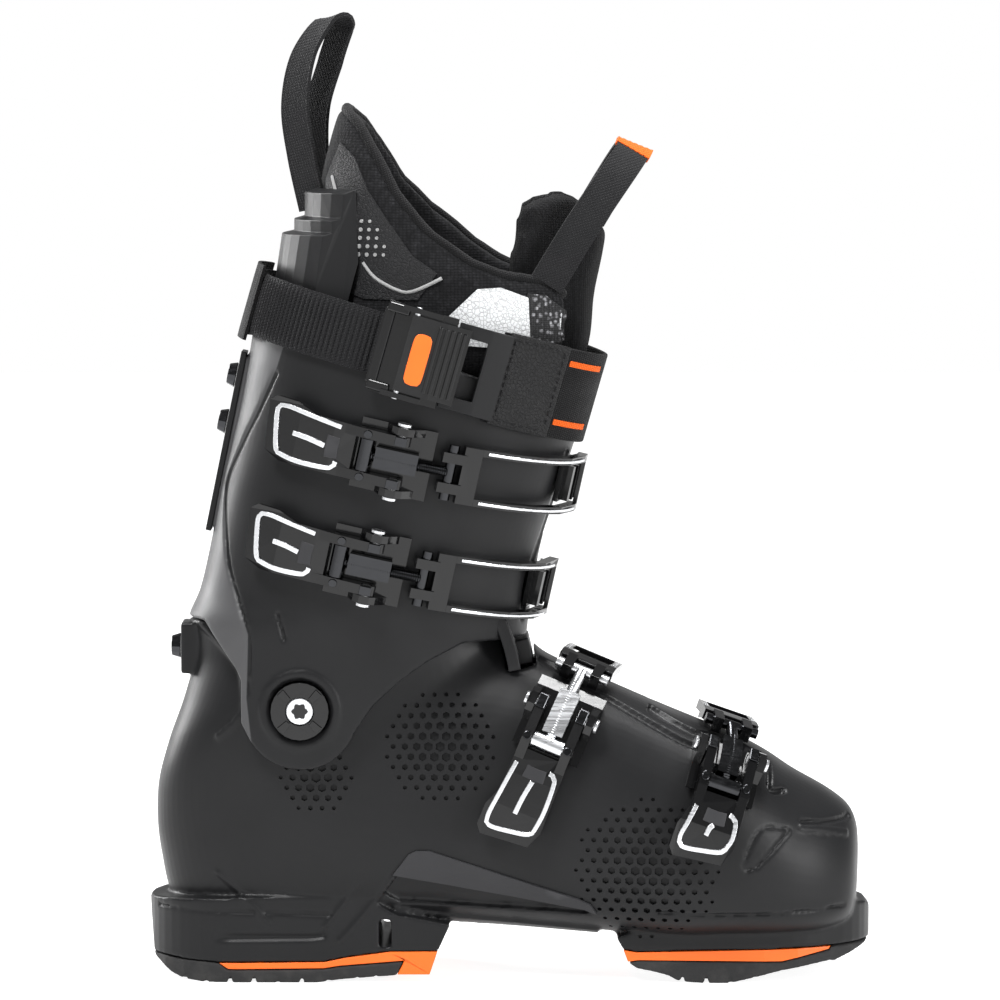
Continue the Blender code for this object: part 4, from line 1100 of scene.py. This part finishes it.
# Each buckle: name, surface, direction (x, z), place (x, z, y), slope, lever length, hook past the front.
BUCKLES = (
    ("upper_cuff", CUFF_KEYS, (0.977, -0.215), (-46.2, 221.0, -52), -0.08, 54.0, -9.0),
    ("lower_cuff", CUFF_KEYS, (0.977, -0.215), (-59.5, 177.5, -49), -0.08, 51.0, -9.0),
    ("instep", SHELL_KEYS, (0.375, 0.927), (21.0, 112.0, -38), 0.14, 56.0, 7.0),
    ("toe", SHELL_KEYS, (0.337, 0.941), (89.5, 92.0, -38), -0.09, 44.0, 7.0),
)


def threaded_rod(line, label):
    """The barrel between the lever's arms, a threaded rod and the cross bar that carries the bail."""
    rings = []
    for k, x in enumerate(np.arange(-11.5, CROSS_BAR - 1.0, 0.45)):
        radius = 2.35 if k % 2 else 1.95
        rings.append([(x, BARREL_OUT + radius * math.sin(a), radius * math.cos(a)) for a in ring_angles(14)])
    parts = [
        loft("thread", rings),
        flat_box("sleeve", (-9.0, 8.0), (3.8, 8.4), (-4.4, 4.4), (4, 1)),
        cross_pin("barrel", -BARREL_BACK, BARREL_OUT, -6.6, 6.6, 3.0, 24),
        cross_pin("trunnion", -BARREL_BACK, BARREL_OUT, -10.9, 10.9, 1.5, 16),
        cross_pin("cross_bar", CROSS_BAR, BARREL_OUT, -11.5, 11.5, 2.1, 20),
    ]
    rod = line.wrap(joined("threaded_rod_" + label, parts))
    rod.data.shade_smooth()
    rod.data.set_sharp_from_angle(angle=math.radians(50))
    look = "metal" if label == "instep" else "dark_metal"
    finish(rod, look, "rod_" + label, ["rod_" + label])


def lever_inlay(line, label, length):
    """The bright stroke round the thumb plate, its middle bar, and the small hinge screws."""
    end = -length + 4.8
    middle = (end - 23) / 2
    stroke = [(-23.5, -9.0), (middle, -10.6), (end + 3, -11.6), (end - 0.4, -9.6), (end + 0.6, 0),
              (end + 2.2, 7.0), (end + 5, 8.6), (middle, 9.5), (-25, 8.6), (-23.2, 5.4)]
    inlay = flat_band("stroke", stroke, 1.9, 7.9, 8.75, 1.5)
    bar = [(end + 0.14 * length, -1.5), ((end - 21) / 2, -1.0), (-28.5, 0.2)]
    bar = flat_band("bar", bar, 2.1, 7.9, 8.75)
    inlay = line.wrap(joined("lever_inlay_" + label, [inlay, bar]))
    finish(bevelled(inlay, 0.25), "metal", "lever_" + label)
    dish = flat_band("dish", [(-25.5, -4.5), (-25.8, 0), (-25.5, 4.5)], 5.0, 7.9, 8.45)
    finish(bevelled(line.wrap(dish), 0.3), "grey", "lever_" + label)
    dish.name = "lever_dish_" + label
    heads = []
    for across in (-9.0, 9.0):
        heads.append(flat_pin("head", -13.0, across, 1.7, 9.0, 10.4))
        heads.append(flat_box("nut", (-2.6, 2.2), (10.4, 11.9), (across - 1.9, across + 1.9)))
    heads = line.wrap(joined("lever_screws_" + label, heads))
    finish(bevelled(heads, 0.3), "dark_metal", "lever_" + label)


def bail_trim(line, label, hook):
    """Bright strips let into the bail's rails."""
    strips = [flat_box("strip", (CROSS_BAR + 13, hook - 5), (8.0, 8.75), (low, low + 1.1), (8, 1))
              for low in (-11.0, 9.9)]
    trim = line.wrap(joined("bail_trim_" + label, strips))
    finish(bevelled(trim, 0.2), "metal", "bail_" + label)


def make_buckles():
    for label, keys, along, place, slope, length, hook_past in BUCKLES:
        line = Line(keys, along, place, slope)
        threaded_rod(line, label)
        lever_inlay(line, label, length)
        bail_trim(line, label, line.front + hook_past)


# ---------------------------------------------------------------- power strap

STRAP = (CUFF_KEYS, (0.961, -0.276), (-40.0, 264.5, -54.0), 0.0)
STRAP_START = 36.0
STITCH_INSET = 2.6
PATCH = (38.0, 66.0)
STRIPES = (68.0, 92.0)
CAM_RIBS = 9.6
CAM_BADGE = 1.2


def ribbed(name, line, along, across, low, high, rib, pitch):
    """Ribbed webbing: a band whose outside rises in a rib every pitch along it."""
    xs = np.arange(along[0], along[1] + 0.01, pitch / 4)
    zs = np.linspace(across[0], across[1], 11)
    grid_x, grid_z = np.meshgrid(xs, zs)
    edge = 1.0 - np.clip(np.abs(grid_z - np.mean(across)) / ((across[1] - across[0]) / 2), 0, 1) ** 6
    out = high - rib + rib * (0.5 + 0.5 * np.cos(TAU * grid_x / pitch)) * edge
    outer = line.lay(np.stack([grid_x, out, grid_z], -1))
    inner = line.lay(np.stack([grid_x, np.full_like(grid_x, low), grid_z], -1))
    return grid_solid(name, outer, inner)


def stitches(name, line, path, out, length=2.2, gap=1.3, width=0.55):
    """A row of short raised stitches along a path of (along, across) points."""
    path = smooth_line(path, 0.5)
    walked = np.concatenate(([0], np.cumsum(np.linalg.norm(np.diff(path, axis=0), axis=1))))
    pieces = []
    for start in np.arange(0.6, walked[-1] - length, length + gap):
        spots = np.linspace(start, start + length, 5)
        row = np.column_stack([np.interp(spots, walked, path[:, 0]), np.interp(spots, walked, path[:, 1])])
        arch = np.sin(np.linspace(0, math.pi, 5)) * 0.28
        points = line.lay(np.column_stack([row[:, 0], out + arch, row[:, 1]]))
        pieces.append(tube("stitch", points, width / 2, 6))
    return joined(name, pieces)


def make_strap():
    line = Line(*STRAP)
    meeting = 2 * line.front - STRAP_START + 20
    webbing = ribbed("strap_webbing_ribbed", line, (meeting - line.length + 0.5, 4.0), (-13, 13),
                     0.9, 2.7, 0.95, 2.2)
    finish(webbing, "webbing", "cuff", ["strap_webbing"])
    rear = line.front - line.length / 2
    sleeve = ribbed("strap_sleeve_ribbed", line, (rear - 24, rear + 20), (-16, 16), 2.9, 4.4, 0.15, 4.0)
    finish(sleeve, "sleeve", "cuff", ["strap_sleeve"])
    front = flat_box("strap_front_band", (STRAP_START, meeting), (0.9, 3.0), (-19, 19), (120, 12))
    finish(bevelled(line.wrap(front), 0.6, 3), "sleeve", "cuff", ["strap_front"])
    patch = line.wrap(flat_box("strap_patch", PATCH, (2.8, 4.3), (-19.5, 19.5), (24, 10)))
    finish(bevelled(patch, 0.7, 3), "leather", "cuff")
    near, far = PATCH[0] + STITCH_INSET, PATCH[1] - STITCH_INSET
    rows = [[(near, -17), (far, -17)], [(near, 17), (far, 17)],
            [(near, -17), (near, 17)], [(far, -17), (far, 17)]]
    seams = [stitches("seam", line, row, 4.25) for row in rows]
    finish(joined("strap_stitching", seams), "webbing", "cuff")
    stripes = [flat_box("stripe", STRIPES, (2.6, 3.3), (low, low + 2.4), (14, 1)) for low in (-14.0, 11)]
    finish(line.wrap(joined("strap_stripes", stripes)), "orange_tape", "cuff")
    make_cam(line)


def make_cam(line):
    """Ribs and a plain orange badge on the cam lever, and the housing round it."""
    ribs = [flat_box("rib", (CAM_RIBS + 2.4 * k, CAM_RIBS + 1.4 + 2.4 * k), (9.0, 10.4), (-14, 14))
            for k in range(5)]
    finish(bevelled(line.wrap(joined("cam_ribs", ribs)), 0.3), "buckle", "cam_lever")
    outline = [(0.0, 0), (0.3, 9), (2.4, 10.6), (5.0, 10.6), (7.1, 9), (7.4, 0), (7.1, -9), (5.0, -10.6),
               (2.4, -10.6), (0.3, -9)]
    outline = smooth_line([(CAM_BADGE + x, z) for x, z in outline], 1.2, True)
    start, end = ([(x, out, z + 1.5) for x, z in outline] for out in (8.8, 9.8))
    badge = line.wrap(extruded("cam_badge", start, end))
    finish(bevelled(badge, 0.3), "orange", "cam_lever")
    housing = [flat_box("wing", (-12, -3), (2.7, 7.6), (low, low + 4), (4, 1)) for low in (-18.5, 14.5)]
    housing.append(flat_box("bridge", (-13, -8.5), (2.7, 6.0), (-16, 16), (3, 1)))
    finish(bevelled(line.wrap(joined("cam_housing", housing)), 0.8, 3), "buckle", "cuff")


# ---------------------------------------------------------------- liner

LINER_OPENING = math.radians(38)
CLOTH_FRAMES = 20


def liner_edge(x, side):
    """Height of the liner's top edge above a place along the boot; the inner side is a little higher."""
    line = ((-90, 366), (-69, 364.5), (-61, 356), (-52.5, 341), (-46, 328), (-33.6, 313), (-16.8, 301),
            (-4.2, 296), (12.6, 293), (23, 286), (45, 276))
    lift = 8.0 * math.exp(-((x + 30) / 25) ** 2) if side > 0 else 0.0
    return np.interp(x, [p[0] for p in line], [p[1] for p in line]) + lift


def tongue_edge(x):
    line = ((-20, 300), (-9, 311), (4, 322), (17, 326.5), (28, 327), (36, 321), (41, 313), (50, 300))
    return np.interp(x, [p[0] for p in line], [p[1] for p in line])


def place_at_height(keys, angle, inset, start, wanted):
    """The first key place where the surface rises past the wanted height."""
    for place in np.arange(start, len(keys) - 1, 0.01):
        x, y, z = point_on(section_at(keys, place), angle, inset)
        if z >= wanted(x, y - SIDE):
            return place
    return float(len(keys) - 1)


def smooth_step(low, high, value):
    share = min(max((value - low) / (high - low), 0.0), 1.0)
    return share * share * (3 - 2 * share)


def puffed(thing, pressure, cap, low_z):
    """Swell a padded piece as cloth; points under low_z are held, and none moves past the cap."""
    before = np.array([v.co for v in thing.data.vertices])
    held = thing.vertex_groups.new(name="held")
    held.add([v.index for v in thing.data.vertices if v.co.z < low_z * MM], 1.0, "REPLACE")
    cloth = modify(thing, "CLOTH")
    cloth.settings.use_pressure = True
    cloth.settings.uniform_pressure_force = pressure
    cloth.settings.effector_weights.gravity = 0.0
    cloth.settings.tension_stiffness = 20
    cloth.settings.compression_stiffness = 20
    cloth.settings.vertex_group_mass = "held"
    cloth.collision_settings.use_collision = False
    for number in range(1, CLOTH_FRAMES + 1):
        bpy.context.scene.frame_set(number)
    apply(thing)
    bpy.context.scene.frame_set(1)
    after = np.array([v.co for v in thing.data.vertices])
    move = after - before
    reach = np.linalg.norm(move, axis=1, keepdims=True)
    after = before + move * np.minimum(1.0, cap * MM / np.maximum(reach, 1e-9))
    thing.data.vertices.foreach_set("co", after.ravel())
    thing.data.update()
    return thing


def soft_shape(thing, voxel, smooth, cap, low_z):
    """The padded form of a soft solid: even mesh, rounded edges, swollen as cloth, then one subdivision."""
    remeshed(thing, voxel, smooth, 0.6)
    puffed(thing, 3.0, cap, low_z)
    modify(thing, "SUBSURF", levels=1, render_levels=1)
    modify(thing, "SMOOTH", iterations=3, factor=0.5)
    apply(thing)
    thing.data.shade_smooth()
    return thing


def liner_angles(count):
    """Angles from the shaft's near front edge round the back to the far one."""
    return np.linspace(math.pi / 2 + LINER_OPENING, math.pi / 2 + TAU - LINER_OPENING, count)


def liner_top(inset):
    """The top edge of the liner's shaft."""
    points = []
    for a in liner_angles(80):
        top = place_at_height(LINER_KEYS, a, 4.0, 1.0, liner_edge)
        points.append(point_on(section_at(LINER_KEYS, top), a, inset))
    return points


def rounded_copy(node, name, voxel):
    """A rounded copy of a CAD solid."""
    thing = new_object(name, NODES[node].data.copy())
    return remeshed(thing, voxel, 4, 0.5)


def make_liner():
    angles = list(liner_angles(90))
    tops = {a: place_at_height(LINER_KEYS, a, 4.0, 1.0, liner_edge) for a in angles}
    upper = wall("liner_shaft", LINER_KEYS, angles, lambda a: 0.0, lambda a: tops[a],
                 lambda a: 0.0, lambda a: 9.0, 40)
    upper = soft_shape(upper, 2.4, 3, 1.6, 262)
    finish(upper, "knit", "cuff", ["liner_upper"])
    angles = list(np.linspace(math.radians(90 - 62), math.radians(90 + 62), 50))
    tuck = {a: 0.4 + 9.4 * smooth_step(22, 34, abs(math.degrees(a) - 90)) for a in angles}
    tops = {a: place_at_height(LINER_KEYS, a, tuck[a], 2.0, lambda x, y: tongue_edge(x)) for a in angles}
    tongue = wall("liner_tongue_soft", LINER_KEYS, angles, lambda a: 0.6, lambda a: tops[a],
                  lambda a: tuck[a], lambda a: tuck[a] + 8.0, 40)
    tongue = soft_shape(tongue, 2.4, 3, 1.6, 262)
    finish(tongue, "foam", "cuff", ["liner_tongue"])
    foot = rounded_copy("liner_foot", "liner_foot_soft", 2.4)
    finish(foot, "foam", "shell", ["liner_foot"])
    bed = rounded_copy("footbed", "footbed_soft", 1.5)
    finish(bed, "foam", "shell", ["footbed"])
    return upper, tongue


def make_liner_trim(upper, tongue):
    surface = Surface(upper, tongue)
    edge = [Vector(p) for p in liner_top(2.6)]
    piping = tube("collar_piping", [p + Vector((0, 0, 0.2)) for p in edge], 2.1, 10)
    finish(piping, "piping", "cuff")
    side_panel = [(-76, 335), (-70, 350), (-64, 344), (-58, 330), (-50, 318), (-40, 304), (-30, 297),
                  (-38, 286), (-60, 286), (-76, 292)]
    finish(surface.drape("liner_side_panel", side_panel, -0.6, 0.7), "smooth", "cuff")
    white = [(-25.2, 279.5), (-13.5, 290.5), (-4.2, 291.0), (6.3, 287.0), (20.5, 280.0), (20.0, 272.0),
             (-2, 266), (-25.2, 268)]
    finish(surface.drape("silver_panel", white, -0.8, 1.1), "white", "cuff")
    speckle = [(7.0, 288.5), (14, 287.5), (22.5, 280.5), (22.5, 268), (8.0, 268)]
    finish(surface.drape("speckled_panel", speckle, -0.6, 1.35), "speckle", "cuff")
    paths = ([(-73.1, 336), (-71.5, 330), (-68.9, 322)],
             [(-60.1, 301), (-55.4, 295), (-46.2, 290), (-39.9, 289.5), (-28, 295)])
    lines = [surface.line(path, 0.7) for path in paths]
    finish(joined("reflective_lines", [tube("line", path, 0.8, 6) for path in lines]), "thread", "cuff")
    dots = [(-67.5 + 3.4 * i + 1.7 * (j % 2) + j * 1.4, 318 - 3.4 * j, 1.0 - 0.09 * i)
            for j in range(5) for i in range(4)]
    finish(surface.pegs("reflective_dots", dots, 0.95, 0.3, 1.15, -1, 10), "thread", "cuff")


# ---------------------------------------------------------------- pull loops

RIB_HEIGHT = 0.25


def loop_path(start, top, end, bulge, count):
    """A smooth path from start up round the top and back down to end."""
    start, top, end, bulge = (np.array(p, float) for p in (start, top, end, bulge))
    path = []
    for share in np.linspace(0, 1, count):
        angle = math.pi * share
        base = start + (end - start) * (1 - math.cos(angle)) / 2
        path.append(base + (top - (start + end) / 2) * math.sin(angle) ** 0.6 + bulge * math.sin(angle) ** 2)
    return np.array(path)


def ribbon(name, path, wide, thickness, look, replaces=(), span=(0.0, 1.0), spread=1.0):
    """A woven ribbon along a path, with fine ribs running its length."""
    path = path + np.array((0, SIDE, 0))
    first, last = (int(round(s * (len(path) - 1))) for s in span)
    path = smooth_line(path[first:last + 1], 0.8)
    ahead = np.gradient(path, axis=0)
    ahead /= np.linalg.norm(ahead, axis=1)[:, None]
    wide = np.array(wide, float)
    wide = wide - ahead * (ahead @ wide)[:, None]
    out = np.cross(ahead, wide)
    out /= np.linalg.norm(out, axis=1)[:, None]
    shares = np.linspace(-0.5, 0.5, 13)
    ribs = 0.5 + 0.5 * np.cos(TAU * shares * 6)
    grids = []
    for side in (1, -1):
        rows = [path + wide * s * spread + out * side * (thickness / 2 + RIB_HEIGHT * (r - 0.5))
                for s, r in zip(shares, ribs)]
        grids.append(np.array(rows))
    thing = grid_solid(name, grids[0], grids[1])
    thing.data.shade_smooth()
    thing.data.set_sharp_from_angle(angle=math.radians(60))
    return finish(thing, look, "cuff", replaces)


def make_loops():
    rear = smooth_line([(-82, -8, 322), (-87, -8, 345), (-89.5, -7.5, 366), (-86, -6, 386), (-77, -3, 400),
                        (-71, 1, 399), (-75, 5, 384), (-81, 7, 364), (-82, 8, 345), (-80, 8, 322)], 1.5)
    ribbon("rear_loop_woven", rear, (11, -10, 3), 1.5, "webbing", ["rear_pull_loop"])
    front = loop_path((15, -38, 292), (48, -12, 345), (33, 4, 318), (2, -4, 0), 33)
    ribbon("tongue_loop_woven", front, (13.5, 3, -5.5), 1.5, "webbing", ["tongue_pull_loop"])
    ribbon("tongue_loop_tag", front, (13.5, 3, -5.5), 2.4, "orange_tape", (), (0.52, 0.72), 1.06)


# ---------------------------------------------------------------- soles

TREADS = (("heel_tread", (-136, -127, -117, -107, -97, -87, -76, -64, -56)),
          ("toe_tread", (62, 72, 82, 92, 102, 112, 122, 132, 141)))


def make_soles():
    """Rubber treads with notches along both edges and a channel down the middle."""
    for node, notches in TREADS:
        tread = new_object(node + "_cut", NODES[node].data.copy())
        for x in notches:
            notch = [(x - 1.1, -2), (x + 1.1, -2), (x + 0.6, 3.0), (x - 0.6, 3.0)]
            for low, high in ((-50, -24), (24, 50)):
                cut(tread, prism("notch", notch, low, high))
        cut(tread, prism("channel", [(-160, -1), (160, -1), (160, 1.2), (-160, 1.2)], -1.5, 1.5))
        remeshed(tread, 0.7, 2, 0.5)
        finish(tread, "rubber", "shell", [node])


# ---------------------------------------------------------------- carried-over CAD pieces

SHELL_LOOK_NODES = ("rear_spoiler", "spine_plate", "strap_hook")


def dress_cad():
    """Materials and softened edges for the CAD pieces that stay."""
    slots = {entry["node"]: entry["material_slot"] for entry in frame["record"]["subparts"]}
    for name, thing in NODES.items():
        look = CAD_LOOKS[slots[name]]
        if look == "cuff" or name in SHELL_LOOK_NODES:
            look = "shell"
        if name.startswith("spine_bolt"):
            look = "dark_metal"
        thing.data.materials.clear()
        thing.data.materials.append(MATERIALS[look])
        modify(thing, "WELD", merge_threshold=0.00002)
        bevelled(thing, 0.45, 3, 30.0)


def main():
    make_camera()
    make_stage()
    dress_cad()
    make_shell()
    make_throat()
    make_cuff()
    make_pivots()
    make_soles()
    make_buckles()
    make_strap()
    upper, tongue = make_liner()
    make_liner_trim(upper, tongue)
    make_loops()


main()
